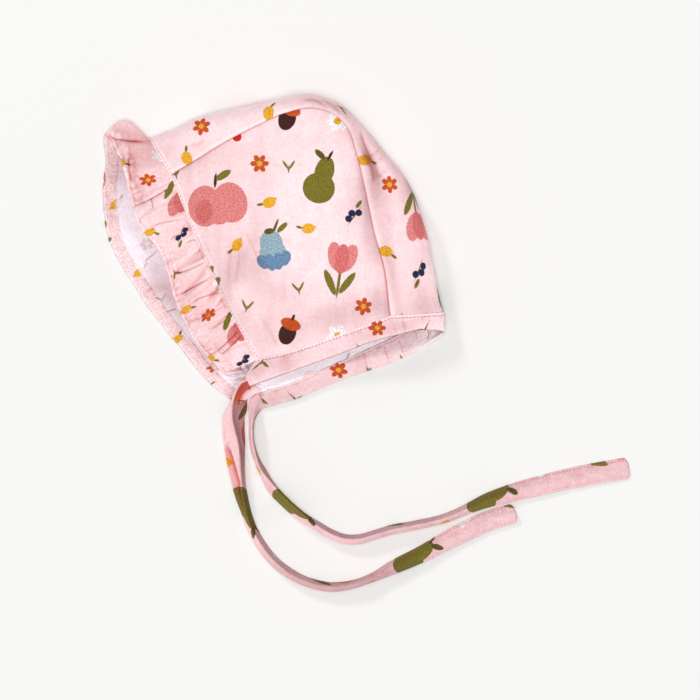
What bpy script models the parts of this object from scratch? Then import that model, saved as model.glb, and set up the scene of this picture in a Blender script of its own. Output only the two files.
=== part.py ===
"""Baby bonnet of thin cotton double gauze, laid on its left-over-right side on a flat surface.

+X runs to the back of the head, +Y to its crown and +Z up from the surface that it lies on. The upper side
panel is the wearer's left one. The origin is on the underside of the lower panel. Every piece is a sheet with
the cloth's thickness: a grid of points worked out from the tables below, thickened by a Solidify modifier.
All sizes below are in millimetres, and meshes are made in metres.
"""

from collections import namedtuple

import bmesh
import bpy
import numpy as np

MM = 0.001
CLOTH = 1.1  # one layer of double gauze with its crinkle
BAND_CLOTH = 1.6  # the neck band is folded over
TIE_CLOTH = 1.2
SEAM_GAP = 0.7  # between two pieces along their seam

# Cells of the grids. The crown seam has a cell for each of the panel's cells along its top and its back.
TOP_CELLS = 16
BACK_CELLS = 18
UPPER_CELLS = 5  # across the crown band, from its upper seam to its fold
LOWER_CELLS = 8  # and from the fold to its lower seam
RUFFLE_CELLS = 6
RUFFLE_FINER = 2  # cells of the ruffle for each cell of the panel beside it
BAND_CELLS = 3
TIE_STEP = 4.5
TIE_CELLS = 4

# The lower panel is the same cut as the upper one, slid down and turned a little under it.
UNDER_TURN = np.radians(4.5)
UNDER_CORNER = np.array([-70.5, 21.5])

CrownSection = namedtuple("CrownSection", "seam_x seam_y seam_z fold_x fold_y fold_z")
CROWN_SECTIONS = (
    CrownSection(-63.0, 47.1, 14.0, -76.2, 69.2, 6.0),
    CrownSection(-47.7, 56.1, 16.5, -60.1, 76.3, 8.0),
    CrownSection(-31.6, 66.0, 19.5, -41.7, 83.8, 9.5),
    CrownSection(-11.2, 76.6, 23.5, -17.6, 89.3, 11.0),
    CrownSection(8.0, 85.0, 27.5, 5.1, 94.1, 12.0),
    CrownSection(27.0, 87.7, 30.0, 27.4, 95.7, 12.5),
    CrownSection(37.5, 83.8, 31.0, 42.2, 90.3, 13.0),
    CrownSection(45.5, 76.0, 31.0, 52.7, 80.2, 13.0),
    CrownSection(51.1, 61.1, 30.5, 66.0, 64.8, 12.5),
    CrownSection(57.0, 36.3, 29.5, 83.8, 42.3, 12.0),
    CrownSection(62.0, 12.7, 27.0, 91.9, 20.1, 11.0),
    CrownSection(68.0, -9.0, 24.0, 96.9, -1.9, 10.0),
    CrownSection(72.4, -40.0, 19.5, 105.2, -41.5, 8.0),
)

SeamPoint = namedtuple("SeamPoint", "x y z")
BRIM_SEAM = (  # of the upper panel, from the neck up to the crown seam
    SeamPoint(-9.8, -66.8, 9.5),
    SeamPoint(-25.4, -38.5, 12.5),
    SeamPoint(-35.3, -16.7, 14.5),
    SeamPoint(-45.9, 6.2, 15.5),
    SeamPoint(-54.6, 26.4, 15.5),
    SeamPoint(-63.0, 47.1, 14.0),
)
NECK_SEAM = (  # of the upper panel, from the brim back to the nape
    SeamPoint(-9.8, -66.8, 9.5),
    SeamPoint(9.3, -62.2, 10.5),
    SeamPoint(35.8, -53.4, 13.5),
    SeamPoint(54.8, -46.6, 16.5),
    SeamPoint(72.4, -40.0, 19.5),
)

# A free edge is read by how far along its seam each point lies, as a share of the seam's whole length.
EdgePoint = namedtuple("EdgePoint", "along x y z")
RUFFLE_EDGE = (
    EdgePoint(0.000, -30.5, -75.0, 5.5),
    EdgePoint(0.090, -47.7, -55.5, 6.5),
    EdgePoint(0.180, -59.8, -31.5, 7.5),
    EdgePoint(0.270, -70.2, 1.0, 8.5),
    EdgePoint(0.330, -83.0, 17.5, 9.0),
    EdgePoint(0.381, -89.0, 37.5, 9.0),
    EdgePoint(0.430, -94.3, 57.0, 8.5),
    EdgePoint(0.467, -103.8, 68.0, 4.0),
    EdgePoint(0.505, -103.4, 57.0, 0.6),
    EdgePoint(0.560, -105.0, 33.0, 0.6),
    EdgePoint(0.618, -101.5, 8.3, 0.6),
    EdgePoint(0.700, -86.8, -19.2, 0.6),
    EdgePoint(0.780, -72.3, -40.5, 0.6),
    EdgePoint(0.860, -56.5, -60.0, 0.6),
    EdgePoint(0.930, -42.5, -77.5, 0.6),
    EdgePoint(1.000, -26.5, -91.0, 0.6),
)
NECK_EDGE = (
    EdgePoint(0.00, -14.0, -83.2, 6.5),
    EdgePoint(0.08, 11.5, -73.9, 8.0),
    EdgePoint(0.18, 38.5, -64.1, 10.5),
    EdgePoint(0.27, 59.5, -56.3, 13.5),
    EdgePoint(0.34, 75.0, -51.8, 15.5),
    EdgePoint(0.42, 91.5, -48.3, 13.0),
    EdgePoint(0.49, 105.5, -49.6, 7.0),
    EdgePoint(0.57, 93.0, -58.6, 0.8),
    EdgePoint(0.66, 75.5, -67.4, 0.8),
    EdgePoint(0.74, 57.3, -73.9, 0.8),
    EdgePoint(0.83, 36.0, -81.6, 0.8),
    EdgePoint(0.92, 14.5, -90.7, 0.8),
    EdgePoint(1.00, -4.2, -96.2, 0.8),
)

# The neck band's upper end swells out where it gathers into its tie.
NECK_END_BULGE = 4.5
NECK_END_FADE = 0.04

FOLD_FULLNESS = 0.75  # the crown band's under side is fuller than an ellipse, which would be 1

# The ruffle's main gathers: where each one crests along the seam, its half width as a share of the seam, how
# far it stands up from the strip and out past the fold, and at what share of the strip's width it is highest.
Gather = namedtuple("Gather", "along half_width up out crest")
GATHER_START = 1.5  # over 1, a gather leaves the seam flat and rises from there
GATHERS = (
    Gather(0.030, 0.020, 1.4, 0.0, 1.0),
    Gather(0.095, 0.024, 2.0, 0.0, 1.0),
    Gather(0.165, 0.020, 1.6, 0.0, 1.0),
    Gather(0.235, 0.024, 2.2, 0.0, 1.0),
    Gather(0.292, 0.016, 1.8, 0.0, 1.0),
    Gather(0.345, 0.022, 2.6, 0.0, 1.0),
    Gather(0.405, 0.022, 2.2, 0.0, 1.0),
    Gather(0.462, 0.024, 1.8, 13.0, 0.6),
    Gather(0.545, 0.018, 1.2, 0.0, 1.0),
    Gather(0.610, 0.020, 1.4, 0.0, 1.0),
    Gather(0.680, 0.020, 1.2, 0.0, 1.0),
    Gather(0.750, 0.020, 1.4, 0.0, 1.0),
    Gather(0.820, 0.018, 1.2, 0.0, 1.0),
    Gather(0.885, 0.020, 1.4, 0.0, 1.0),
    Gather(0.955, 0.018, 1.2, 0.0, 1.0),
)

# Soft folds of the upper panel and the crown band, as valleys (negative) and ridges along straight lines.
Crease = namedtuple("Crease", "start_x start_y end_x end_y half_width rise")
CREASE_REACH = 0.45  # half of a crease's length over which it keeps its height, as a share
PANEL_DOME = 4.5
PANEL_CREASES = (
    Crease(-20.0, 12.0, -24.0, -22.0, 5.0, -2.0),
    Crease(-12.0, 10.0, -4.0, -16.0, 5.0, 1.2),
    Crease(44.0, 44.0, 52.0, 8.0, 5.0, 1.0),
)
CROWN_CREASES = (
    Crease(56.0, 66.0, 70.0, 42.0, 3.5, -2.0),
    Crease(66.0, 60.0, 80.0, 34.0, 3.5, 1.6),
    Crease(76.0, -36.0, 98.0, -37.0, 4.0, -1.2),
)

# The ties' routes from the neck band along the ridge that runs down each one. A tie slopes down to the left and
# the right of its ridge, in degrees. The ridge is at a share of the tie's width from its left edge, and the lift
# is that of the lower edge over the surface.
RoutePoint = namedtuple("RoutePoint", "x y lift left right width ridge")
TIE_LEFT_ROUTE = (
    RoutePoint(-15.9, -80.0, 5.2, 12, 12, 7.6, 0.5),
    RoutePoint(-19.2, -81.4, 4.8, 16, 16, 8.6, 0.5),
    RoutePoint(-22.4, -86.2, 4.0, 22, 22, 10.4, 0.5),
    RoutePoint(-24.8, -93.0, 2.4, 28, 28, 12.6, 0.52),
    RoutePoint(-25.2, -101.0, 0.6, 32, 32, 15.0, 0.56),
    RoutePoint(-24.2, -109.4, 0.0, 34, 30, 16.0, 0.48),
    RoutePoint(-22.2, -117.0, 0.0, 42, 28, 15.6, 0.4),
    RoutePoint(-20.9, -126.0, 0.0, 52, 30, 14.6, 0.34),
    RoutePoint(-20.3, -135.0, 0.0, 58, 36, 13.4, 0.34),
    RoutePoint(-19.6, -144.0, 0.0, 62, 44, 12.6, 0.38),
    RoutePoint(-18.2, -153.1, 0.0, 64, 52, 12.4, 0.44),
    RoutePoint(-16.3, -162.1, 0.0, 66, 64, 12.4, 0.5),
    RoutePoint(-13.2, -171.5, 0.0, 64, 66, 12.4, 0.5),
    RoutePoint(-8.5, -180.0, 0.0, 64, 64, 12.4, 0.5),
    RoutePoint(-0.8, -190.2, 0.0, 64, 64, 12.4, 0.5),
    RoutePoint(11.6, -200.2, 0.0, 64, 66, 12.4, 0.5),
    RoutePoint(24.0, -205.7, 0.0, 66, 66, 12.4, 0.5),
    RoutePoint(36.5, -207.9, 0.0, 66, 66, 12.4, 0.5),
    RoutePoint(49.0, -206.4, 0.0, 70, 70, 12.4, 0.5),
    RoutePoint(61.8, -201.9, 0.0, 68, 68, 12.4, 0.5),
    RoutePoint(73.8, -195.9, 0.0, 54, 50, 12.4, 0.5),
    RoutePoint(92.4, -187.2, 0.0, 42, 36, 12.4, 0.5),
    RoutePoint(106.0, -180.0, 0.0, 34, 28, 12.4, 0.5),
    RoutePoint(119.7, -173.1, 0.0, 24, 20, 12.4, 0.5),
    RoutePoint(133.3, -167.0, 0.0, 22, 20, 12.4, 0.5),
    RoutePoint(150.0, -161.9, 0.0, 24, 22, 12.4, 0.5),
)
TIE_RIGHT_ROUTE = (
    RoutePoint(-7.0, -92.4, 0.2, 4, 4, 9.2, 0.5),
    RoutePoint(-9.3, -93.7, 0.1, 20, 20, 9.8, 0.5),
    RoutePoint(-11.4, -97.4, 0.0, 46, 46, 10.8, 0.5),
    RoutePoint(-12.9, -103.4, 0.0, 64, 64, 12.0, 0.5),
    RoutePoint(-13.8, -110.0, 0.0, 68, 68, 12.4, 0.5),
    RoutePoint(-13.3, -117.0, 0.0, 70, 70, 12.4, 0.5),
    RoutePoint(-11.8, -125.6, 0.0, 70, 70, 12.4, 0.5),
    RoutePoint(-7.4, -135.3, 0.0, 70, 68, 12.4, 0.5),
    RoutePoint(-1.0, -144.4, 0.0, 70, 60, 12.4, 0.45),
    RoutePoint(6.8, -152.9, 0.0, 70, 60, 12.4, 0.45),
    RoutePoint(18.6, -163.5, 0.0, 70, 64, 12.4, 0.45),
    RoutePoint(27.0, -169.6, 0.0, 68, 66, 12.4, 0.5),
    RoutePoint(36.5, -175.3, 0.0, 66, 66, 12.4, 0.5),
    RoutePoint(45.3, -178.2, 0.0, 66, 66, 12.4, 0.5),
    RoutePoint(53.5, -178.2, 0.0, 66, 66, 12.4, 0.5),
    RoutePoint(62.5, -175.8, 0.0, 66, 68, 12.4, 0.5),
    RoutePoint(74.0, -172.5, 0.0, 64, 68, 12.4, 0.5),
    RoutePoint(88.0, -169.8, 0.0, 66, 68, 12.4, 0.5),
    RoutePoint(108.5, -164.7, 0.0, 66, 68, 12.4, 0.5),
    RoutePoint(120.9, -159.4, 0.0, 62, 64, 12.4, 0.5),
    RoutePoint(132.1, -154.5, 0.0, 50, 50, 12.4, 0.5),
    RoutePoint(146.3, -149.9, 0.0, 38, 34, 12.4, 0.5),
    RoutePoint(165.5, -144.9, 0.0, 26, 22, 12.4, 0.5),
    RoutePoint(184.8, -140.5, 0.0, 16, 14, 12.4, 0.5),
    RoutePoint(202.7, -137.0, 0.0, 8, 8, 12.4, 0.5),
    RoutePoint(220.3, -134.2, 0.0, 3, 3, 12.4, 0.5),
)

# Colours are linear RGB.
PINK = (0.84, 0.50, 0.49)
MATERIALS = {
    "printed_gauze": (PINK, 0.92),
    "ruffle_gauze": ((0.82, 0.47, 0.45), 0.92),
    "tie_gauze": ((0.83, 0.49, 0.47), 0.9),
}


def clear_scene():
    for thing in list(bpy.data.objects):
        bpy.data.objects.remove(thing, do_unlink=True)


def shares_of(points):
    """How far along a line of points each one lies, from 0 to 1."""
    steps = np.linalg.norm(np.diff(points, axis=0), axis=1)
    return np.concatenate([[0.0], np.cumsum(steps)]) / steps.sum()


def smooth(knots, values, at):
    """Values between knots on one smooth curve: cubic pieces with slopes from each knot's neighbours."""
    slopes = np.gradient(values, knots, axis=0)
    span = np.clip(np.searchsorted(knots, at, side="right") - 1, 0, len(knots) - 2)
    width = (knots[span + 1] - knots[span])[:, None]
    t = (at - knots[span])[:, None] / width
    return (
        (1 + 2 * t) * (1 - t) ** 2 * values[span]
        + t * (1 - t) ** 2 * width * slopes[span]
        + t * t * (3 - 2 * t) * values[span + 1]
        + t * t * (t - 1) * width * slopes[span + 1]
    )


def read_table(rows, at):
    """A table's rows at shares of its length, measured along its first three columns."""
    table = np.array(rows, float)
    return smooth(shares_of(table[:, :3]), table, np.asarray(at, float))


def read_edge(rows, along):
    table = np.array(rows, float)
    return smooth(table[:, 0], table[:, 1:], np.asarray(along, float))


def laid_under(points, half_cloth):
    """The lower side's copy of points on the upper side's seams, flat on the surface."""
    corner = np.array(BRIM_SEAM[-1][:2])
    turn = np.array([[np.cos(UNDER_TURN), -np.sin(UNDER_TURN)], [np.sin(UNDER_TURN), np.cos(UNDER_TURN)]])
    plan = (points[:, :2] - corner) @ turn.T + UNDER_CORNER
    return np.column_stack([plan, np.full(len(points), half_cloth)])


def crown_section(row):
    """Points across the crown band: out from the upper seam, round the fold and back under to the lower seam."""
    seam, fold = row[0:3], row[3:6]
    under = laid_under(seam[None, :], CLOTH / 2)[0]
    turn = np.linspace(0, np.pi / 2, UPPER_CELLS + 1)
    out = np.sin(turn)[:, None]
    down = (1 - np.cos(turn))[:, None]
    upper = seam + (fold - seam) * np.hstack([out, out, down])
    turn = np.linspace(0, np.pi / 2, LOWER_CELLS + 1)[1:]
    back = (1 - np.cos(turn) ** FOLD_FULLNESS)[:, None]
    down = (np.sin(turn) ** FOLD_FULLNESS)[:, None]
    lower = fold + (under - fold) * np.hstack([back, back, down])
    return np.vstack([upper, lower])


def crown_rows():
    """The crown sections at the panel's grid lines, from the brim to the nape."""
    return read_table(CROWN_SECTIONS, np.linspace(0, 1, TOP_CELLS + BACK_CELLS + 1))


def creased(points, creases):
    """Points lifted by ridges and valleys that fade out at both ends."""
    points = points.copy()
    for crease in creases:
        start = np.array([crease.start_x, crease.start_y])
        run = np.array([crease.end_x, crease.end_y]) - start
        offset = points[..., :2] - start
        along = offset @ run / (run @ run)
        across = (offset @ np.array([-run[1], run[0]])) / np.hypot(*run)
        fade = np.exp(-(((along - 0.5) / CREASE_REACH) ** 4))
        points[..., 2] += crease.rise * fade * np.exp(-((across / crease.half_width) ** 2))
    return points


def patch(bottom, top, left, right):
    """A Coons patch between four lines of points that meet at its corners."""
    u = np.linspace(0, 1, len(bottom))[:, None, None]
    v = np.linspace(0, 1, len(left))[None, :, None]
    across = (1 - v) * bottom[:, None] + v * top[:, None]
    upward = (1 - u) * left[None, :] + u * right[None, :]
    corners = (
        (1 - u) * (1 - v) * bottom[0]
        + u * (1 - v) * bottom[-1]
        + (1 - u) * v * top[0]
        + u * v * top[-1]
    )
    return across + upward - corners


def panel_grid(under):
    """A side panel between its neck, crown, brim and back seams."""
    crown = crown_rows()[:, :3]
    neck = read_table(NECK_SEAM, np.linspace(0, 1, TOP_CELLS + 1))
    brim = read_table(BRIM_SEAM, np.linspace(0, 1, BACK_CELLS + 1))
    lines = [neck, crown[: TOP_CELLS + 1], brim, crown[: TOP_CELLS - 1 : -1]]
    if under:
        return patch(*[laid_under(line, CLOTH / 2) for line in lines])
    grid = patch(*lines)
    u = np.linspace(0, 1, TOP_CELLS + 1)[:, None]
    v = np.linspace(0, 1, BACK_CELLS + 1)[None, :]
    edge = np.sqrt(np.sin(np.pi * u) * np.sin(np.pi * v))
    grid[..., 2] += PANEL_DOME * edge
    folded = creased(grid, PANEL_CREASES)
    grid[..., 2] += (folded - grid)[..., 2] * np.minimum(1, 2 * edge)
    return grid


def crown_grid():
    """The crown band, with creases on the side that faces up and none of them at its seams."""
    grid = np.array([crown_section(row) for row in crown_rows()])
    folded = creased(grid, CROWN_CREASES)
    cells = np.arange(grid.shape[1])
    upper = np.clip(np.sin(np.pi * cells / (UPPER_CELLS + 1)), 0, 1) * (cells <= UPPER_CELLS)
    ends = np.minimum(1, np.minimum(np.arange(len(grid)), np.arange(len(grid))[::-1]) / 2)
    grid[..., 2] += (folded - grid)[..., 2] * upper[None, :] * ends[:, None]
    return grid


def finer(points, times):
    """Each step of a line of points cut into equal shorter ones."""
    at = np.linspace(0, len(points) - 1, (len(points) - 1) * times + 1)
    return np.column_stack([np.interp(at, np.arange(len(points)), column) for column in points.T])


def seam_round(upper_seam, cells, section, half_cloth):
    """One line round an opening: along the upper panel, round the crown band's end and back below."""
    upper = read_table(upper_seam, np.linspace(0, 1, cells + 1))
    lower = laid_under(upper[::-1], half_cloth)
    around = section.copy()
    around[-1, 2] = half_cloth
    return np.vstack([upper[:-1], around, lower[1:]])


def strip(seam, edge_rows, cells):
    """A strip from a seam to its free edge, and how far along the seam its points lie."""
    along = shares_of(seam)
    edge = read_edge(edge_rows, along)
    v = np.linspace(0, 1, cells + 1)[None, :, None]
    return seam[:, None] * (1 - v) + edge[:, None] * v, along


def ruffle_grid():
    seam = finer(seam_round(BRIM_SEAM, BACK_CELLS, crown_section(crown_rows()[0]), CLOTH / 2), RUFFLE_FINER)
    grid, along = strip(seam, RUFFLE_EDGE, RUFFLE_CELLS)
    v = np.linspace(0, 1, RUFFLE_CELLS + 1)
    for gather in GATHERS:
        near = np.exp(-(((along - gather.along) / gather.half_width) ** 2))[:, None]
        rise = (np.sin(np.pi / 2 * v / gather.crest) ** GATHER_START)[None, :]
        grid[..., 1] += gather.out * near * rise
        grid[..., 2] += gather.up * near * rise
    return grid


def neck_grid():
    last = crown_section(crown_rows()[-1])
    seam = seam_round(NECK_SEAM, TOP_CELLS, last, BAND_CLOTH / 2)
    grid, along = strip(seam, NECK_EDGE, BAND_CELLS)
    out = np.sin(np.pi * np.linspace(0, 1, BAND_CELLS + 1))[None, :]
    grid[..., 0] -= NECK_END_BULGE * out * np.exp(-((along / NECK_END_FADE) ** 2))[:, None]
    return grid


def tie_grid(route):
    """A tie along its route, sloping down from its ridge to both sides and resting on the lower one."""
    table = np.array(route, float)
    knots = shares_of(table[:, :2])
    length = np.linalg.norm(np.diff(table[:, :2], axis=0), axis=1).sum()
    at = np.linspace(0, 1, int(length / TIE_STEP) + 1)
    x, y, lift, left, right, width, ridge = smooth(knots, table, at).T
    left, right = np.radians(left), np.radians(right)
    ahead = np.gradient(np.column_stack([x, y]), axis=0)
    ahead /= np.linalg.norm(ahead, axis=1)[:, None]
    leftward = np.column_stack([-ahead[:, 1], ahead[:, 0], np.zeros(len(at))])
    reach_left, reach_right = width * ridge, width * (1 - ridge)
    height = np.maximum(reach_left * np.sin(left), reach_right * np.sin(right))
    top = np.column_stack([x, y, lift + height + TIE_CLOTH / 2])
    columns = []
    for share in np.linspace(1, 0, TIE_CELLS // 2 + 1):
        out = leftward * np.cos(left)[:, None] - np.array([0, 0, 1]) * np.sin(left)[:, None]
        columns.append(top + out * (share * reach_left)[:, None])
    for share in np.linspace(0, 1, TIE_CELLS // 2 + 1)[1:]:
        out = -leftward * np.cos(right)[:, None] - np.array([0, 0, 1]) * np.sin(right)[:, None]
        columns.append(top + out * (share * reach_right)[:, None])
    return np.stack(columns, axis=1)


def inset(grid, by):
    """A grid with its four borders drawn in."""
    grid = grid.copy()
    for view in (grid, grid[::-1], grid.transpose(1, 0, 2), grid.transpose(1, 0, 2)[::-1]):
        inward = view[1] - view[0]
        view[0] += inward / np.linalg.norm(inward, axis=1)[:, None] * by
    return grid


def make_material(name):
    colour, roughness = MATERIALS[name]
    material = bpy.data.materials.new(name)
    material.use_nodes = True
    shader = material.node_tree.nodes["Principled BSDF"]
    shader.inputs["Base Color"].default_value = (*colour, 1)
    shader.inputs["Roughness"].default_value = roughness
    shader.inputs["Metallic"].default_value = 0.0
    return material


def make_sheet(name, grid, thickness, material, collection):
    """An object from a grid of points in millimetres, thickened to both sides and never below the surface."""
    columns, rows = grid.shape[:2]
    grid[..., 2] = np.maximum(grid[..., 2], thickness / 2)
    shape = bmesh.new()
    bmesh.ops.create_grid(shape, x_segments=columns - 1, y_segments=rows - 1, size=0.5)
    for vertex in shape.verts:
        column = round((vertex.co.x + 0.5) * (columns - 1))
        row = round((vertex.co.y + 0.5) * (rows - 1))
        vertex.co = grid[column, row] * MM
    mesh = bpy.data.meshes.new(name)
    shape.to_mesh(mesh)
    shape.free()
    mesh.shade_smooth()
    mesh.materials.append(material)
    sheet = bpy.data.objects.new(name, mesh)
    collection.objects.link(sheet)
    walls = sheet.modifiers.new("cloth", "SOLIDIFY")
    walls.thickness = thickness * MM
    walls.offset = 0
    return sheet


def main():
    clear_scene()
    bonnet = bpy.data.collections.new("baby_bonnet")
    bpy.context.scene.collection.children.link(bonnet)
    gauze, ruffle, tie = [make_material(name) for name in MATERIALS]
    half_gap = SEAM_GAP / 2
    make_sheet("side_panel_left", inset(panel_grid(under=False), half_gap), CLOTH, gauze, bonnet)
    make_sheet("side_panel_right", inset(panel_grid(under=True), half_gap), CLOTH, gauze, bonnet)
    make_sheet("crown_band", inset(crown_grid(), half_gap), CLOTH, gauze, bonnet)
    make_sheet("brim_ruffle", inset(ruffle_grid(), half_gap), CLOTH, ruffle, bonnet)
    make_sheet("neck_band", inset(neck_grid(), half_gap), BAND_CLOTH, gauze, bonnet)
    make_sheet("tie_left", tie_grid(TIE_LEFT_ROUTE), TIE_CLOTH, tie, bonnet)
    make_sheet("tie_right", tie_grid(TIE_RIGHT_ROUTE), TIE_CLOTH, tie, bonnet)


main()
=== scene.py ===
"""Looks of the baby bonnet: its cloth, folds, gathers, seams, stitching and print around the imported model.

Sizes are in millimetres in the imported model's frame: +X runs to the back of the head, +Y to its crown and +Z
up from the surface. The tables and curves that give the main shapes follow the model's own source, with small
differences at the nape, in the crown band's curve and near the roots of the ties.
"""

from collections import namedtuple

import bpy
import numpy as np
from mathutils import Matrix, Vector


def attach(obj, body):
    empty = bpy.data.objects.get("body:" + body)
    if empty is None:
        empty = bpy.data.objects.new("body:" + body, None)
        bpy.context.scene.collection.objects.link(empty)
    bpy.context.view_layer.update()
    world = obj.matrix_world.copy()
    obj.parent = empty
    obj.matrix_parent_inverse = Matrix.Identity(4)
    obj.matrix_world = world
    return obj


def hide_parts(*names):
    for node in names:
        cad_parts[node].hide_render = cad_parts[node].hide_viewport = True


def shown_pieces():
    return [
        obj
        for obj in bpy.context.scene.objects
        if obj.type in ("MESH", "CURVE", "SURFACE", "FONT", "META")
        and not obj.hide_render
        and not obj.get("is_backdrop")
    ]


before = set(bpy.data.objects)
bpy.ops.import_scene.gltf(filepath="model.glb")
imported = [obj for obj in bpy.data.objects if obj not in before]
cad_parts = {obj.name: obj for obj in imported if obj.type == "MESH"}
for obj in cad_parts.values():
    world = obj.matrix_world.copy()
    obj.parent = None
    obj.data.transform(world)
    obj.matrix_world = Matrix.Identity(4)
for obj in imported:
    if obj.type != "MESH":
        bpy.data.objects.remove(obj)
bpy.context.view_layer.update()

MM = 0.001
CLOTH = 1.1
BAND_CLOTH = 1.6
TIE_CLOTH = 1.1
SEAM_GAP = 0.16
LOWEST_CLOTH = 0.02
LOWEST_STITCH = 0.35
RIM_SWELL = 0.42
MOST_INSET = 0.4
UV_PER_MM = 0.01

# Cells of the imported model's grids, how many cells of these meshes each of them becomes, and how many cells
# lie across the strips.
TOP_CELLS = 16
BACK_CELLS = 18
UPPER_CELLS = 5
LOWER_CELLS = 8
PANEL_FINE = 10
UNDER_FINE = 5
CROWN_FINE = 8
RUFFLE_FINE = 13
RUFFLE_ACROSS = 74
BAND_FINE = 9
BAND_ACROSS = 34
CORNER_SHARE = TOP_CELLS / (TOP_CELLS + BACK_CELLS)

# What the functions below share.
PACKED_ZONE = 0.06
NOISE_CELLS = 64
FOLD_STEPS = 32
STITCH_SIDES = 6
STITCH_RINGS = 5

# Topstitching: its distances from the edges, and the pitch, length and radius of its threads.
SEWN_AT = 1.2
BAND_SEWN_AT = 1.4
TEETH_AT = 0.25
BRIM_THREAD = (2.5, 1.5, 0.2)
TIE_THREAD = (2.2, 1.3, 0.22)
BAND_THREAD = (2.3, 1.1, 0.26)
TEETH_THREAD = (1.7, 0.9, 0.3)

# Ties: the mesh's steps, how round the ridge and the end are, and from where to where the painted warm shade
# at a tie's root fades to painted grey shade.
TIE_STEP = 0.7
TIE_ACROSS = 22
TIE_RIDGE = 0.7
TIE_END = 2.6
WARM_SHADE_ENDS = (12, 28)

RUFFLE_FULLNESS = 1.5
HEM = 7.4
PANEL_DOME = 4.5
PANEL_SLANT = 17 / 60
NECK_END_BULGE = 4.5
NECK_END_FADE = 0.04
FOLD_FULLNESS = 0.75
CROWN_FULLNESS = 1.3
GATHER_START = 1.5
UNDER_TURN = np.radians(4.5)
UNDER_CORNER = np.array([-70.5, 21.5])
END_FOLD = np.array([[-12.6, -82.2, 5.2], [-7.6, -85.9, 4.6], [-22.9, -90.8, 7.2], [-21.5, -94.2, 6.2]])

VIEW_CENTRE = (47.7, -61.0)
VIEW_WIDTH = 434
CAMERA_HEIGHT = 5000

# The floor and the lights, in metres.
FLOOR_SIDE = 3
LIGHT_DISTANCE = 12
SPOT_HEIGHT = 0.3
SPOT_SOFTNESS = 0.02


def table(kind, *rows):
    """Rows with named columns. What a row leaves out at its end has the column's usual value."""
    return [kind(*row) for row in rows]


CrownSection = namedtuple("CrownSection", "seam_x seam_y seam_z fold_x fold_y fold_z")
CROWN_SECTIONS = table(
    CrownSection,
    (-63, 47.1, 14, -76.2, 69.2, 6),
    (-47.7, 56.1, 16.5, -60.1, 76.3, 8),
    (-31.6, 66, 19.5, -41.7, 83.8, 9.5),
    (-11.2, 76.6, 23.5, -17.6, 89.3, 11),
    (8, 85, 27.5, 5.1, 94.1, 12),
    (27, 87.7, 30, 27.4, 95.7, 12.5),
    (37.5, 83.8, 31, 42.2, 90.3, 13),
    (45.5, 76, 31, 52.7, 80.2, 13),
    (51.1, 61.1, 30.5, 66, 64.8, 12.5),
    (57, 36.3, 29.5, 83.8, 42.3, 12),
    (62, 12.7, 27, 91.9, 20.1, 11),
    (68, -9, 24, 96.9, -1.9, 10),
    (72.4, -40, 19.5, 105, -38, 8),
)

SeamPoint = namedtuple("SeamPoint", "x y z")
BRIM_SEAM = table(
    SeamPoint,
    (-9.8, -66.8, 9.5),
    (-25.4, -38.5, 12.5),
    (-35.3, -16.7, 14.5),
    (-45.9, 6.2, 15.5),
    (-54.6, 26.4, 15.5),
    (-63, 47.1, 14),
)
NECK_SEAM = table(
    SeamPoint,
    (-9.8, -66.8, 9.5),
    (9.3, -62.2, 10.5),
    (35.8, -53.4, 13.5),
    (54.8, -46.6, 16.5),
    (72.4, -40, 19.5),
)

EdgePoint = namedtuple("EdgePoint", "along x y z")
RUFFLE_EDGE = table(
    EdgePoint,
    (0, -30.5, -75, 5.5),
    (0.09, -47.7, -55.5, 6.5),
    (0.18, -59.8, -31.5, 7.5),
    (0.27, -70.2, 1, 8.5),
    (0.33, -83, 17.5, 9),
    (0.381, -89, 37.5, 9),
    (0.43, -94.3, 57, 8.5),
    (0.467, -103.8, 68, 4),
    (0.505, -103.4, 57, 0.6),
    (0.56, -105, 33, 0.6),
    (0.618, -101.5, 8.3, 0.6),
    (0.7, -86.8, -19.2, 0.6),
    (0.78, -72.3, -40.5, 0.6),
    (0.86, -56.5, -60, 0.6),
    (0.93, -42.5, -77.5, 0.6),
    (1, -26.5, -91, 0.6),
)
NECK_EDGE = table(
    EdgePoint,
    (0, -14, -83.2, 6.5),
    (0.08, 11.5, -73.9, 8),
    (0.18, 38.5, -64.1, 10.5),
    (0.27, 59.5, -56.3, 13.5),
    (0.34, 75, -51.8, 15.5),
    (0.42, 91.5, -48.3, 13),
    (0.49, 105.5, -49.6, 7),
    (0.57, 93, -58.6, 0.8),
    (0.66, 75.5, -67.4, 0.8),
    (0.74, 57.3, -73.9, 0.8),
    (0.83, 36, -81.6, 0.8),
    (0.92, 14.5, -90.7, 0.8),
    (1, -4.2, -96.2, 0.8),
)

Gather = namedtuple("Gather", "along half_width up out crest", defaults=(0, 1))
GATHERS = table(
    Gather,
    (0.03, 0.02, 1.4),
    (0.095, 0.024, 2),
    (0.165, 0.02, 1.6),
    (0.235, 0.024, 2.2),
    (0.292, 0.016, 1.8),
    (0.345, 0.022, 2.6),
    (0.405, 0.022, 2.2),
    (0.462, 0.024, 1.8, 13, 0.6),
    (0.545, 0.018, 1.2),
    (0.61, 0.02, 1.4),
    (0.68, 0.02, 1.2),
    (0.75, 0.02, 1.4),
    (0.82, 0.018, 1.2),
    (0.885, 0.02, 1.4),
    (0.955, 0.018, 1.2),
)

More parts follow.
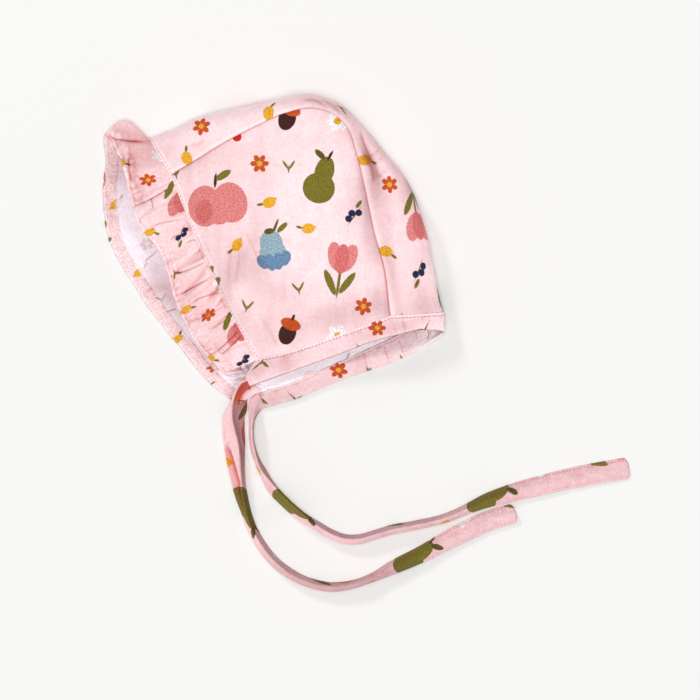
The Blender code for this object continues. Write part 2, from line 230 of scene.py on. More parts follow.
# Folds and creases along bent lines through three points. A valley has a negative rise, and the lip stands up
# on the left of the line, looking from the first point to the last, where one layer lies over the next.
Fold = namedtuple("Fold", "x0 y0 x1 y1 x2 y2 rise width lip", defaults=(0,))
PANEL_FOLDS = table(
    Fold,
    (-20, 12, -22, -5, -24, -22, -2, 5),
    (-12, 10, -8, -3, -4, -16, 1.2, 5),
    (44, 44, 48, 26, 52, 8, 1, 5),
    (-21.7, 8, -21.2, -4, -23.6, -18, -0.5, 1.4),
    (-16.6, 12.5, -12, 1.5, -6.4, -8.5, -0.45, 1.3),
    (-24.5, 3, -27, -7.5, -27.5, -20, -0.35, 1.5),
    (-12.5, 4, -8, -7, -1, -19, -0.3, 1.4),
    (-33, 31, -27, 21, -22.5, 9, 0.5, 3),
    (40, 62, 44.5, 47, 47, 31, -0.45, 2.2),
    (21, 70, 31, 72, 40, 67, -0.4, 2),
    (-5, 57, 12, 62.5, 30, 61, 0.35, 3),
    (14, -30, 30, -27, 46, -30, -0.4, 3),
    (-8, -40, -2, -49, 2, -58, -0.4, 2),
    (45, 29.5, 51, 33.5, 57.5, 40, -0.3, 0.8),
    (46.5, 26, 52.5, 29.5, 59, 35.5, -0.25, 0.7),
)
CROWN_FOLDS = table(
    Fold,
    (56, 66, 63, 54, 70, 42, -2, 3.5),
    (66, 60, 73, 47, 80, 34, 1.6, 3.5),
    (76, -36, 87, -36, 98, -37, -1.2, 4),
    (53.3, 74, 57.5, 63, 63, 52.5, -0.9, 1.5),
    (56, 60.5, 60.5, 51.5, 61.5, 41.5, -1, 1.8),
    (60.5, 46.5, 68, 44, 74.5, 37.5, 0.7, 1.5),
    (58, 58.5, 61.5, 59.5, 66, 63, -0.5, 0.8),
    (59, 53, 63.5, 54.5, 68.5, 58.5, -0.5, 0.8),
    (60.5, 44, 66, 46.5, 71, 51, -0.4, 0.8),
    (19.8, 92.5, 27, 92, 33, 87.5, -0.6, 1.3),
    (30, 93, 36.5, 89.5, 41.5, 84, -0.5, 1.2),
    (72, 22, 77, 8, 79.5, -8, 0.5, 3),
    (-52, 66, -47, 66, -41, 70, -0.5, 2.5),
)
RUFFLE_FOLDS = table(
    Fold,
    (-103.2, 72.4, -95, 69.2, -79, 68, -3.2, 1.5, 1.4),
    (-89.2, 58, -88.8, 51, -87, 42, -0.9, 1.5),
    (-84.9, 28.2, -75, 32.6, -62.6, 40.4, -2.2, 0.9, 1),
    (-74.7, 33, -74.4, 29.5, -73.8, 26.4, -1, 0.8, 0.5),
    (-80.6, 19.5, -72, 25, -58.3, 28.6, 1.6, 1.6),
    (-74.8, 12.8, -71, 17, -54.5, 19.8, -1.5, 0.9, 0.8),
    (-63.5, 6.8, -59.5, 9.8, -54, 9.8, -1.1, 0.8, 0.6),
    (-54, 5.2, -51, 6.6, -47, 7.4, -1, 0.7, 0.4),
    (-61, -14.4, -51, -10.8, -41.6, -6, -1.6, 0.9, 0.8),
    (-59.4, -27, -48, -21.5, -36.8, -15.2, -1.4, 1.1, 0.9),
    (-49.8, -31.9, -43, -28, -32.4, -25.8, -0.9, 0.8, 0.5),
    (-48.6, -42.6, -39.4, -38.8, -29.6, -33, -0.8, 0.7, 0.4),
    (-38.4, -48.4, -33.4, -45, -28.6, -42.2, -0.6, 0.7, 0.3),
    (-40.8, -65.4, -30, -57.6, -21.6, -48.4, -1.5, 0.8, 1),
    (-31.8, -64, -25.2, -57.6, -18.8, -51.4, -1.4, 0.8, 0.9),
    (-71, 1.4, -75, -2.4, -80.2, -6.4, -1, 0.7, 0.4),
    (-60, -35.4, -63, -36.4, -66.8, -37.6, -1.1, 0.7, 0.5),
)
BAND_FOLDS = table(
    Fold,
    (86.5, -47.5, 88.6, -50.5, 89, -54.5, -0.8, 1.1, 0.4),
    (93.6, -46, 96, -49.5, 95.5, -54, -0.7, 1.1, 0.4),
    (74, -42.5, 75, -46.5, 76, -50.5, -0.4, 0.9),
    (80, -42, 81, -45.5, 82, -49.5, -0.4, 0.9),
    (77.5, -55.5, 79.5, -58.5, 80.5, -64, -0.6, 1, 0.3),
    (68.5, -59, 70, -62.5, 71.5, -67.5, -0.4, 1, 0.2),
    (56, -63.5, 57, -67, 58.5, -72, -0.3, 1),
)

# Soft areas of painted highlight (a negative amount) or painted shade, turned by degrees from the X axis.
PaintedLight = namedtuple("PaintedLight", "x y length width turn amount")
PANEL_PAINTED_LIGHT = table(
    PaintedLight,
    (21, 32, 50, 24, 88, -0.5),
    (59.5, 32, 42, 7.5, 97, 0.95),
    (48, 26, 9, 8, 0, 0.3),
    (-45, 57, 20, 10, 20, 0.4),
    (-28, -31, 16, 5, 118, 0.26),
    (-22, -9, 24, 9, 62, 0.5),
    (-20, -42, 14, 10, 0, 0.15),
    (8, -25, 12, 11, 0, 0.38),
    (-4, 14, 16, 8, 95, 0.28),
    (-9, -16, 15, 9, 95, 0.34),
    (32, -42, 50, 12, 14, 0.55),
    (46, 79, 22, 9, -36, 0.6),
    (-40, 14, 34, 10, 112, 0.3),
    (58, -15, 12, 10, 0, -0.2),
    (70, -34, 12, 10, 0, 0.3),
    (2, 52, 20, 8, 28, 0.2),
)
CROWN_PAINTED_LIGHT = table(
    PaintedLight,
    (-22, 80, 34, 9, 27, -0.35),
    (-40, 87, 30, 5, 15, -0.5),
    (-63, 75, 10, 6, 30, -0.6),
    (33, 89, 24, 6, -16, 0.5),
    (50, 72, 13, 5, 122, 0.4),
    (-63, 63, 8, 7, 0, 0.35),
    (59.5, 56, 11, 3.2, 116, 0.95),
    (63.5, 47, 9, 2.6, 104, 0.6),
    (66, 68, 14, 5, 122, 0.3),
    (80, 6, 22, 10, 95, -0.12),
    (71, 26, 14, 4, 100, 0.25),
    (69.5, 2, 32, 7, 98, 0.35),
    (71.5, -12, 9, 6, 98, 0.25),
    (61.5, 37.5, 13, 5, 104, 0.65),
    (86, 38, 12, 5, 115, 0.6),
    (99, -15, 14, 4, 98, -0.35),
    (88, -14, 14, 5, 96, 0.2),
    (92, -34, 12, 10, 0, 0.45),
    (76, -30, 16, 3, 98, 0.25),
)
RUFFLE_PAINTED_LIGHT = table(
    PaintedLight,
    (-79, 61, 13, 11, 0, 0.42),
    (-93, 74, 14, 4, -18, 0.45),
    (-102, 77, 7, 6, 0, -0.3),
    (-38, -35, 7, 7, 0, -0.25),
    (-99.5, 50, 14, 5, 95, 0.4),
    (-36, -64, 14, 9, 125, 0.35),
    (-85.5, 48, 16, 3.5, 102, 0.5),
    (-76, 26, 9, 6, 100, 0.2),
    (-29, -49, 8, 8, 0, 0.35),
    (-70, 12, 12, 8, 100, -0.25),
    (-97, 2, 60, 8, 123, -0.3),
    (-51, -28, 13, 6, 112, 0.18),
)
FAR_RUFFLE_PAINTED_LIGHT = table(
    PaintedLight,
    (-64, -27, 22, 8, 120, 0.55),
    (-76, -23, 9, 6, 120, 0.45),
    (-102, 22, 20, 4, 106, 0.45),
    (-91, 50, 10, 6, 100, 0.4),
)
BAND_PAINTED_LIGHT = table(
    PaintedLight,
    (98, -53, 12, 7, 20, -0.9),
    (0, -70, 20, 8, 20, 0.5),
    (-13, -76, 8, 5, 60, 0.1),
    (-2, -93, 11, 8, 20, 0.4),
    (66, -50, 22, 7, 18, 0.42),
    (84, -44.5, 14, 5, 12, 0.15),
    (24, -85, 38, 7, 19, 0.35),
    (66, -69, 18, 6, 22, 0.06),
)

# Creases of a tie, with painted shade along them. Each runs from a spot to another one, both given by how far
# along the tie they are and how far to the left of its ridge.
Streak = namedtuple("Streak", "start start_left end end_left depth")
LEFT_STREAKS = [Streak(42, -6.6, 66, -0.8, 1)]
RIGHT_STREAKS = [Streak(58, -5, 74, -1.5, 0.25)]

RoutePoint = namedtuple("RoutePoint", "x y lift left right width ridge", defaults=(12.4, 0.5))
TIE_LEFT_ROUTE = table(
    RoutePoint,
    (-15.9, -80, 5.2, 12, 12, 6.6, 0.86),
    (-19.2, -81.4, 4.8, 16, 16, 7.4, 0.88),
    (-22.4, -86.2, 4, 20, 30, 8.4, 0.9),
    (-24.8, -93, 2.4, 26, 30, 10.4, 0.92),
    (-25.4, -97, 1.3, 30, 30, 12.4, 0.82),
    (-25.6, -101, 0.6, 34, 32, 15, 0.66),
    (-24.2, -109.4, 0, 34, 30, 16, 0.48),
    (-22.2, -117, 0, 42, 28, 15.6, 0.4),
    (-20.9, -126, 0, 52, 30, 14.6, 0.34),
    (-20.3, -135, 0, 58, 36, 13.4, 0.34),
    (-19.6, -144, 0, 62, 44, 12.6, 0.38),
    (-18.2, -153.1, 0, 64, 52, 12.4, 0.44),
    (-16.3, -162.1, 0, 66, 64),
    (-13.2, -171.5, 0, 64, 66),
    (-8.5, -180, 0, 64, 64),
    (-0.8, -190.2, 0, 64, 64),
    (11.6, -200.2, 0, 64, 66),
    (24, -205.7, 0, 66, 66),
    (36.5, -207.9, 0, 66, 66),
    (49, -206.4, 0, 70, 70),
    (61.8, -201.9, 0, 68, 68),
    (73.8, -195.9, 0, 54, 50),
    (92.4, -187.2, 0, 42, 36),
    (106, -180, 0, 34, 28),
    (119.7, -173.1, 0, 24, 20),
    (133.3, -167, 0, 22, 20),
    (150, -161.9, 0, 24, 22),
)
TIE_RIGHT_ROUTE = table(
    RoutePoint,
    (-7, -92.4, 0.2, 4, 4, 9.2),
    (-9.3, -93.7, 0.1, 20, 20, 9.8),
    (-11.4, -97.4, 0, 46, 46, 10.8),
    (-12.3, -103.4, 0, 80, 73, 12, 0.4),
    (-12.9, -110, 0, 84, 78, 12.4, 0.34),
    (-12.5, -117, 0, 84, 78, 12.4, 0.3),
    (-10.8, -125.4, 0, 80, 76, 12.4, 0.36),
    (-7.4, -135.3, 0, 70, 76, 12.4, 0.56),
    (-0.5, -143.9, 0, 70, 61, 12.4, 0.24),
    (7.3, -152.4, 0, 72, 62, 12.4, 0.2),
    (19.1, -162.9, 0, 72, 64, 12.4, 0.22),
    (27, -169.6, 0, 68, 66),
    (36.5, -175.3, 0, 66, 66),
    (45.3, -178.2, 0, 66, 66),
    (53.5, -178.2, 0, 66, 66),
    (62.5, -175.8, 0, 66, 68),
    (74, -172.5, 0, 64, 68),
    (88, -169.8, 0, 66, 68),
    (108.5, -164.7, 0, 66, 68),
    (120.9, -159.4, 0, 62, 64),
    (132.1, -154.5, 0, 50, 50),
    (146.3, -149.9, 0, 38, 34),
    (165.5, -144.9, 0, 26, 22),
    (184.8, -140.5, 0, 16, 14),
    (202.7, -137, 0, 8, 8),
    (220.3, -134.2, 0, 3, 3),
)


# --- curves and tables ---


def steps_of(points):
    return np.linalg.norm(np.diff(points, axis=0), axis=1)


def summed(steps):
    return np.concatenate([[0.0], np.cumsum(steps)])


def shares_of(points):
    return summed(steps_of(points)) / steps_of(points).sum()


def unit(vectors):
    return vectors / np.linalg.norm(vectors, axis=-1, keepdims=True)


def smooth(knots, values, at):
    slopes = np.gradient(values, knots, axis=0)
    span = np.clip(np.searchsorted(knots, at, side="right") - 1, 0, len(knots) - 2)
    width = (knots[span + 1] - knots[span])[:, None]
    t = (at - knots[span])[:, None] / width
    return (
        (1 + 2 * t) * (1 - t) ** 2 * values[span]
        + t * (1 - t) ** 2 * width * slopes[span]
        + t * t * (3 - 2 * t) * values[span + 1]
        + t * t * (t - 1) * width * slopes[span + 1]
    )


def read_table(rows, at):
    values = np.array(rows, float)
    return smooth(shares_of(values[:, :3]), values, np.asarray(at, float))


def read_edge(rows, along):
    values = np.array(rows, float)
    return smooth(values[:, 0], values[:, 1:], along)


def ramp(x, low, high):
    """0 up to low, 1 from high on, and smooth between them."""
    t = np.clip((x - low) / (high - low), 0, 1)
    return t * t * (3 - 2 * t)


def bump(x, centre, width):
    return np.exp(-(((x - centre) / width) ** 2))


def packed(cells, start=0.55, end=0.55):
    """Shares from 0 to 1 that lie closer together at the start and the end, by those amounts."""
    x = np.linspace(0, 1, cells + 1)
    steps = 1 / (1 + 3 * start * np.exp(-x / PACKED_ZONE) + 3 * end * np.exp(-(1 - x) / PACKED_ZONE))
    total = summed((steps[1:] + steps[:-1]) / 2)
    return total / total[-1]


def noise(x, y, seed):
    """Smooth value noise from -1 to 1, which repeats after NOISE_CELLS cells."""
    table = np.random.default_rng(seed).uniform(-1, 1, (NOISE_CELLS, NOISE_CELLS))
    column, row = np.floor(x).astype(int), np.floor(y).astype(int)
    s, t = ramp(x - column, 0, 1), ramp(y - row, 0, 1)
    c0, c1, r0, r1 = (cell % NOISE_CELLS for cell in (column, column + 1, row, row + 1))
    low = table[c0, r0] * (1 - s) + table[c1, r0] * s
    high = table[c0, r1] * (1 - s) + table[c1, r1] * s
    return low * (1 - t) + high * t


def wavy(x, y, *waves):
    """Sum of noise, each with its height, the size of its cells along x and along y, and its seed."""
    return sum(height * noise(x / wide, y / long, seed) for height, wide, long, seed in waves)


def length_along(grid, axis):
    """How far each grid point lies along its row or column from the first one."""
    steps = np.linalg.norm(np.diff(grid, axis=axis), axis=2)
    return np.insert(np.cumsum(steps, axis=axis), 0, 0, axis=axis)


def from_sides(grid):
    """How far each grid point lies from the first and the last one of its row, and of its column."""
    u, v = length_along(grid, 0), length_along(grid, 1)
    return u, u[-1:] - u, v, v[:, -1:] - v


def folded(grid, folds):
    """(height change, painted shade in its narrow valleys) that a table of folds gives at each grid point."""
    flat = grid[..., :2].reshape(-1, 2)
    rise, painted_shading = np.zeros((2, len(flat)))
    t = np.linspace(0, 1, FOLD_STEPS + 1)[:, None]
    for fold in folds:
        start, middle, end = np.array(fold[:6]).reshape(3, 2)
        bend = 2 * middle - (start + end) / 2
        line = (1 - t) ** 2 * start + 2 * t * (1 - t) * bend + t * t * end
        reach = 3 * fold.width + 4
        near = ((flat > line.min(axis=0) - reach) & (flat < line.max(axis=0) + reach)).all(axis=1)
        offset = flat[near][:, None] - line[None]
        nearest = np.argmin((offset**2).sum(axis=2), axis=1)
        own = offset[np.arange(len(nearest)), nearest]
        tangent = unit(np.gradient(line, axis=0))[nearest]
        side = tangent[:, 0] * own[:, 1] - tangent[:, 1] * own[:, 0]
        beyond = (own * tangent).sum(axis=1) / np.linalg.norm(end - start)
        share = nearest / FOLD_STEPS + np.where((nearest == 0) | (nearest == FOLD_STEPS), beyond, 0)
        fade = ramp(share, -0.12, 0.22) * ramp(1 - share, -0.12, 0.22)
        profile = bump(side, 0, fold.width)
        rise[near] += fold.rise * fade * profile
        rise[near] += fold.lip * fade * ramp(side, 0, fold.width) * np.exp(-np.clip(side, 0, None) / 2.5)
        if fold.rise < 0 and fold.width < 3:
            painted_shading[near] += fade * profile**3 * min(1, -fold.rise)
    return rise.reshape(grid.shape[:2]), np.clip(painted_shading, 0, 1).reshape(grid.shape[:2])


def painted_light_areas(grid, tones):
    """Sum of the soft painted highlights (negative) and areas of painted shade of a table, at each grid point.
    """
    total = np.zeros(grid.shape[:2])
    for tone in tones:
        x, y = grid[..., 0] - tone.x, grid[..., 1] - tone.y
        turn = np.radians(tone.turn)
        along, across = x * np.cos(turn) + y * np.sin(turn), y * np.cos(turn) - x * np.sin(turn)
        total += tone.amount * bump(along, 0, tone.length) * bump(across, 0, tone.width)
    return total


# --- the main shapes, which follow the model's source ---


def laid_under(points, half_cloth):
    """A line of the upper layer as it lies on the surface, turned a little about the brim's corner."""
    sine, cosine = np.sin(UNDER_TURN), np.cos(UNDER_TURN)
    turn = np.array([[cosine, -sine], [sine, cosine]])
    plan = (points[:, :2] - np.array(BRIM_SEAM[-1][:2])) @ turn.T + UNDER_CORNER
    return np.column_stack([plan, np.full(len(points), half_cloth)])


def crown_section(row, fine, first=0.0):
    seam, fold = row[0:3], row[3:6]
    under = laid_under(seam[None, :], CLOTH / 2)[0]
    turn = packed(UPPER_CELLS * fine, first, 0) * np.pi / 2
    out = np.sin(turn)[:, None]
    down = (1 - np.cos(turn))[:, None] ** CROWN_FULLNESS
    upper = seam + (fold - seam) * np.hstack([out, out, down])
    turn = np.linspace(0, np.pi / 2, LOWER_CELLS * fine + 1)[1:, None]
    back = 1 - np.cos(turn) ** FOLD_FULLNESS
    lower = fold + (under - fold) * np.hstack([back, back, np.sin(turn) ** FOLD_FULLNESS])
    return np.vstack([upper, lower])


def patch(bottom, top, left, right, u, v):
    """A Coons patch between four lines, with its points at shares u and v of its sides."""
    u, v = u[:, None, None], v[None, :, None]
    across = (1 - v) * bottom[:, None] + v * top[:, None]
    upward = (1 - u) * left[None, :] + u * right[None, :]
    corners = (1 - v) * ((1 - u) * bottom[0] + u * bottom[-1]) + v * ((1 - u) * top[0] + u * top[-1])
    return across + upward - corners


def panel_points(fine, under):
    """Grid of a side panel, along its neck and crown seams and from the neck up."""
    u, v = packed(TOP_CELLS * fine), packed(BACK_CELLS * fine)
    crown_top = read_table(CROWN_SECTIONS, CORNER_SHARE * u)[:, :3]
    crown_back = read_table(CROWN_SECTIONS, 1 - (1 - CORNER_SHARE) * v)[:, :3]
    lines = [read_table(NECK_SEAM, u), crown_top, read_table(BRIM_SEAM, v), crown_back]
    if under:
        return patch(*(laid_under(line, CLOTH / 2) for line in lines), u, v)
    grid = patch(*lines, u, v)
    grid[..., 2] += PANEL_DOME * np.sqrt(np.sin(np.pi * u)[:, None] * np.sin(np.pi * v)[None, :])
    return grid


def strip(seam_rows, edge_rows, section_at, cells, fine, half_cloth, v):
    """(grid, shares along it, its length) of cloth from a seam that runs round both layers out to an edge."""
    upper = read_table(seam_rows, np.linspace(0, 1, cells * fine + 1))
    around = crown_section(read_table(CROWN_SECTIONS, [section_at])[0], fine)
    around[-1, 2] = half_cloth
    seam = np.vstack([upper[:-1], around, laid_under(upper[::-1], half_cloth)[1:]])
    along = shares_of(seam)
    edge = read_edge(edge_rows, along)
    v = v[None, :, None]
    return seam[:, None] * (1 - v) + edge[:, None] * v, along, steps_of(seam).sum()


def inset(grid):
    """The grid with its border drawn in by half a seam gap."""
    grid = grid.copy()
    for view in (grid, grid[::-1], grid.transpose(1, 0, 2), grid.transpose(1, 0, 2)[::-1]):
        inward = view[1] - view[0]
        share = SEAM_GAP / 2 / np.linalg.norm(inward, axis=1)
        view[0] += inward * np.minimum(share, MOST_INSET)[:, None]
    return grid


# --- meshes ---


def normals_of(grid):
    normal = np.cross(np.gradient(grid, axis=0), np.gradient(grid, axis=1))
    return normal / np.maximum(np.linalg.norm(normal, axis=2), 1e-9)[..., None]


def keep_above(points, lowest):
    points[..., 2] = np.maximum(points[..., 2], lowest)


def add_mesh(name, points, faces, materials):
    mesh = bpy.data.meshes.new(name)
    mesh.from_pydata((points * MM).tolist(), [], faces)
    for material in materials:
        mesh.materials.append(material)
    mesh.shade_smooth()
    piece = bpy.data.objects.new(name, mesh)
    bpy.context.scene.collection.objects.link(piece)
    return piece


def shell(name, grid, thickness, flat, materials, shades, turned_in=None):
    """(piece, points of its right side) of a sheet of cloth with rounded edges, round a grid of points.

    flat holds the place of each point on the cloth before it was sewn. The first material is the right side
    and the second one the wrong side, but not where turned_in says that a hem is. shades holds the grids that
    the materials read, by name.
    """
    columns, rows = grid.shape[:2]
    count = columns * rows
    index = np.arange(count).reshape(columns, rows)
    border = np.concatenate([index[:, 0], index[-1, 1:], index[-2::-1, -1], index[0, -2:0:-1]])
    i, j = np.divmod(border, rows)
    thickness = np.broadcast_to(thickness, grid.shape[:2]).astype(float)
    grid = grid.copy()
    keep_above(grid, thickness / 2)
    half = normals_of(grid) * thickness[..., None] / 2
    right, wrong = grid + half, grid - half
    outward = unit(grid[i, j] - grid[np.clip(i, 1, columns - 2), np.clip(j, 1, rows - 2)])
    rim = grid[i, j] + outward * thickness[i, j][:, None] * RIM_SWELL
    for side in (right, wrong, rim):
        keep_above(side, LOWEST_CLOTH)

    quads = np.stack([index[:-1, :-1], index[1:, :-1], index[1:, 1:], index[:-1, 1:]], axis=-1).reshape(-1, 4)
    rim_at = 2 * count + np.arange(len(border))
    ahead, rim_ahead = np.roll(border, -1), np.roll(rim_at, -1)
    right_rim = np.stack([border, rim_at, rim_ahead, ahead], axis=-1)
    wrong_rim = np.stack([rim_at, border + count, ahead + count, rim_ahead], axis=-1)
    faces = np.vstack([quads, quads[:, ::-1] + count, right_rim, wrong_rim]).tolist()
    points = np.vstack([right.reshape(-1, 3), wrong.reshape(-1, 3), rim])
    piece = add_mesh(name, points, faces, materials)
    mesh = piece.data
    slots = np.zeros(len(faces), np.int32)
    wrong_slots = 1 if turned_in is None else ~turned_in[:-1, :-1].reshape(-1)
    slots[len(quads) : 2 * len(quads)] = wrong_slots
    mesh.polygons.foreach_set("material_index", slots)

    def on_all_points(values):
        listed = values.reshape(count, -1)
        return np.vstack([listed, listed, values[i, j].reshape(len(i), -1)])

    corners = np.empty(len(mesh.loops), np.int32)
    mesh.loops.foreach_get("vertex_index", corners)
    places = (on_all_points(flat)[corners] * UV_PER_MM).astype(np.float32)
    mesh.uv_layers.new(name="cloth").data.foreach_set("uv", places.ravel())
    for kind, shade in shades.items():
        values = on_all_points(shade).astype(np.float32).ravel()
        mesh.attributes.new(kind, "FLOAT", "POINT").data.foreach_set("value", values)
    mesh.validate()
    return piece, right


def line_at(right, axis_first, distance):
    """(points, normals) along a surface at a distance from its first row or column of points."""
    parts = [part if axis_first else part.transpose(1, 0, 2) for part in (right, normals_of(right))]
    far = length_along(parts[0], 0)
    at = np.array([np.interp(distance, column, np.arange(len(far))) for column in far.T])
    low = np.minimum(at.astype(int), len(far) - 2)
    t, k = (at - low)[:, None], np.arange(len(at))
    return [part[low, k] * (1 - t) + part[low + 1, k] * t for part in parts]


def stitches(name, line, pitch, length, radius, material, seed):
    """Short rounded threads along a line of (points, normals), as one mesh."""
    rng = np.random.default_rng(seed)
    all_points, all_faces, count = [], [], 0
    turn = np.linspace(0, 2 * np.pi, STITCH_SIDES, endpoint=False)
    bend = np.linspace(-1, 1, STITCH_RINGS)
    around = np.sqrt(np.clip(1 - (np.abs(bend) * 0.96) ** 3, 0.02, 1))[:, None, None]
    far = summed(steps_of(line[0]))
    for start in np.arange(pitch / 2, far[-1] - length, pitch):
        spots = start + (bend + 1) / 2 * length * rng.uniform(0.9, 1.08)
        centre, up = (np.column_stack([np.interp(spots, far, part) for part in ends.T]) for ends in line)
        up = unit(up)
        side = np.cross(unit(centre[-1] - centre[0]), up)
        centre = centre + up * (radius * (0.9 * (1 - bend**2) - 0.35))[:, None]
        wide = side[:, None] * (np.cos(turn) * radius)[None, :, None]
        high = up[:, None] * (np.sin(turn) * radius * 0.8)[None, :, None]
        all_points.append((centre[:, None] + (wide + high) * around).reshape(-1, 3))
        for low in range(count, count + (STITCH_RINGS - 1) * STITCH_SIDES, STITCH_SIDES):
            for s in range(STITCH_SIDES):
                t = (s + 1) % STITCH_SIDES
                all_faces.append((low + s, low + t, low + STITCH_SIDES + t, low + STITCH_SIDES + s))
        all_faces.append(range(count + STITCH_SIDES - 1, count - 1, -1))
        count += STITCH_RINGS * STITCH_SIDES
        all_faces.append(range(count - STITCH_SIDES, count))
    return add_mesh(name, np.vstack(all_points), all_faces, [material])


# --- camera ---

camera_data = bpy.data.cameras.new("camera")
camera_data.sensor_width = 36
camera_data.lens = camera_data.sensor_width * CAMERA_HEIGHT / VIEW_WIDTH
camera_data.clip_end = 20
camera = bpy.data.objects.new("camera", camera_data)
camera.location = (VIEW_CENTRE[0] * MM, VIEW_CENTRE[1] * MM, CAMERA_HEIGHT * MM)
bpy.context.scene.collection.objects.link(camera)
bpy.context.scene.camera = camera


# --- materials ---


def ink(red, green, blue):
    """Linear RGB of an 8-bit sRGB colour."""
    share = np.array([red, green, blue]) / 255
    linear = np.where(share > 0.04045, ((share + 0.055) / 1.055) ** 2.4, share / 12.92)
    return (*linear.tolist(), 1)


WRONG_SIDE = ink(249, 237, 246)
UNDER_WRONG = ink(248, 238, 246)
# Tints of painted light: warm painted shade in creases and, deeper, at the roots of the ties and the band's
# end, grey painted shade, painted shadow on the ties' shaded sides, and the factor of a painted highlight.
CREASE_SHADE_TINT = ink(212, 118, 102)
TIE_WARM_SHADE_TINT = ink(212, 112, 88)
DEEP_WARM_SHADE_TINT = ink(208, 92, 56)
GREY_SHADE_TINT = ink(203, 188, 189)
SHADOW_TINT = ink(143, 106, 99)
HIGHLIGHT_TINT = (1.06, 1.26, 1.25, 1)
THREAD_TONE = 0.52
CLOUD_TONE = 0.3
CRUMPLE_TONE = 0.34
SPECK_TONE = 0.17
GROUND = ink(246, 211, 214)
RUFFLE_GROUND = ink(245, 205, 208)
TIE_GROUND = ink(243, 199, 203)

INKS = {
    "olive": ink(122, 112, 34),
    "moss": ink(92, 84, 26),
    "mustard": ink(236, 172, 44),
    "rust": ink(204, 82, 24),
    "dusty": ink(150, 176, 188),
    "slate": ink(106, 138, 170),
    "brown": ink(62, 28, 24),
    "rose": ink(226, 132, 130),
    "coral": ink(214, 112, 110),
    "red": ink(208, 34, 34),
    "white": ink(250, 248, 250),
    "navy": ink(28, 34, 70),
}


def pair(x, y, rx, ry, turn, colour):
    """A blob and the mirror image on its left, which comes first."""
    return (-x, y, rx, ry, -turn, colour), (x, y, rx, ry, turn, colour)


def petals(reach, rx, ry, colour):
    turns = np.arange(6) * np.pi / 3
    places = zip(np.round(reach * np.cos(turns), 2), np.round(reach * np.sin(turns), 2), np.degrees(turns))
    return [(x, y, rx, ry, turn, colour) for x, y, turn in places]


# Each motif is made of ellipses of ink. The later ones lie on top.
Blob = namedtuple("Blob", "x y rx ry turn ink")
MOTIFS = {
    "apple": (
        *pair(7.5, -1, 10, 12, 8, "rose"),
        (0, -3, 8, 10, 0, "rose"),
        (-8.5, -4, 5, 7, -14, "coral"),
        (0.6, 13, 0.9, 4.2, -12, "brown"),
        (5.6, 15.5, 5, 2.1, 24, "olive"),
    ),
    "pear": (
        (0, -5, 9.5, 9, 0, "olive"),
        (0.5, 5, 5.6, 9, 0, "olive"),
        (1.2, 15, 0.8, 3.2, -14, "brown"),
        (-4.6, 14, 4, 1.7, -28, "moss"),
    ),
    "tulip": (
        (0, -9, 0.9, 9, 0, "olive"),
        (-5, -9.5, 2.1, 8, 30, "olive"),
        (5, -8.5, 2.1, 7.5, -30, "olive"),
        *pair(4, 6, 4.4, 8.5, -16, "rose"),
        (0, 5, 4.2, 8.8, 0, "coral"),
    ),
    "bellflower": (
        (3.4, 12.5, 0.8, 5.6, -32, "moss"),
        (7.6, 12.2, 3.8, 1.5, 34, "olive"),
        (0, 4.4, 6.4, 7.6, 0, "dusty"),
        (0, 0, 7.4, 5.6, 0, "dusty"),
        *pair(6.2, -5, 3.1, 4.4, -30, "slate"),
        *pair(2.2, -6, 2.9, 4.8, -9, "slate"),
        (0, 11.4, 2.8, 1.7, 0, "moss"),
    ),
    "sprig": (
        (0, 0, 0.6, 12, 0, "moss"),
        (-3.6, -4, 1.9, 4.4, 50, "olive"),
        (3.6, -2, 1.9, 4.4, -50, "olive"),
        (-3.3, 3, 1.8, 4.2, 46, "olive"),
        (3.3, 5, 1.8, 4.2, -46, "olive"),
        (0, 11.5, 1.9, 4.4, 0, "olive"),
    ),
    "acorn": (
        (0, -2.4, 4.6, 6.2, 0, "brown"),
        (0, 2.8, 5.6, 3.2, 0, "rust"),
        (0, 6.6, 0.8, 1.8, 0, "brown"),
    ),
    "daisy": (*petals(4.1, 3, 2, "white"), (0, 0, 2.2, 2.2, 0, "mustard")),
    "windflower": (*petals(3.5, 2.3, 1.6, "rust"), (0, 0, 1.6, 1.6, 0, "mustard")),
    "cherries": (
        (-1.6, 2.4, 0.45, 5, -18, "brown"),
        (2.2, 2.2, 0.45, 5, 20, "brown"),
        (-3.2, -3.4, 3.1, 3.1, 0, "red"),
        (3.8, -4, 3.1, 3.1, 0, "red"),
        (2.6, 7.6, 3, 1.3, 14, "olive"),
    ),
    "lemon": (
        (0, 0, 4.2, 3.3, 0, "mustard"),
        (4.1, 0, 1.2, 0.9, 0, "mustard"),
        (-5.6, 1.8, 2.1, 0.9, -24, "olive"),
    ),
    "berries": (
        (0.4, -0.4, 0.4, 6.4, -47, "moss"),
        (-3.6, -1.4, 2.2, 2.2, 0, "navy"),
        (-0.9, 1.6, 2.2, 2.2, 0, "navy"),
        (3.4, 1, 2.2, 2.2, 0, "navy"),
        (4.6, 6.4, 1.2, 3, -47, "olive"),
    ),
    "seedling": (
        *pair(1.9, 1, 0.75, 3.2, -34, "olive"),
        (0, -1.6, 0.5, 2.2, 0, "olive"),
    ),
}

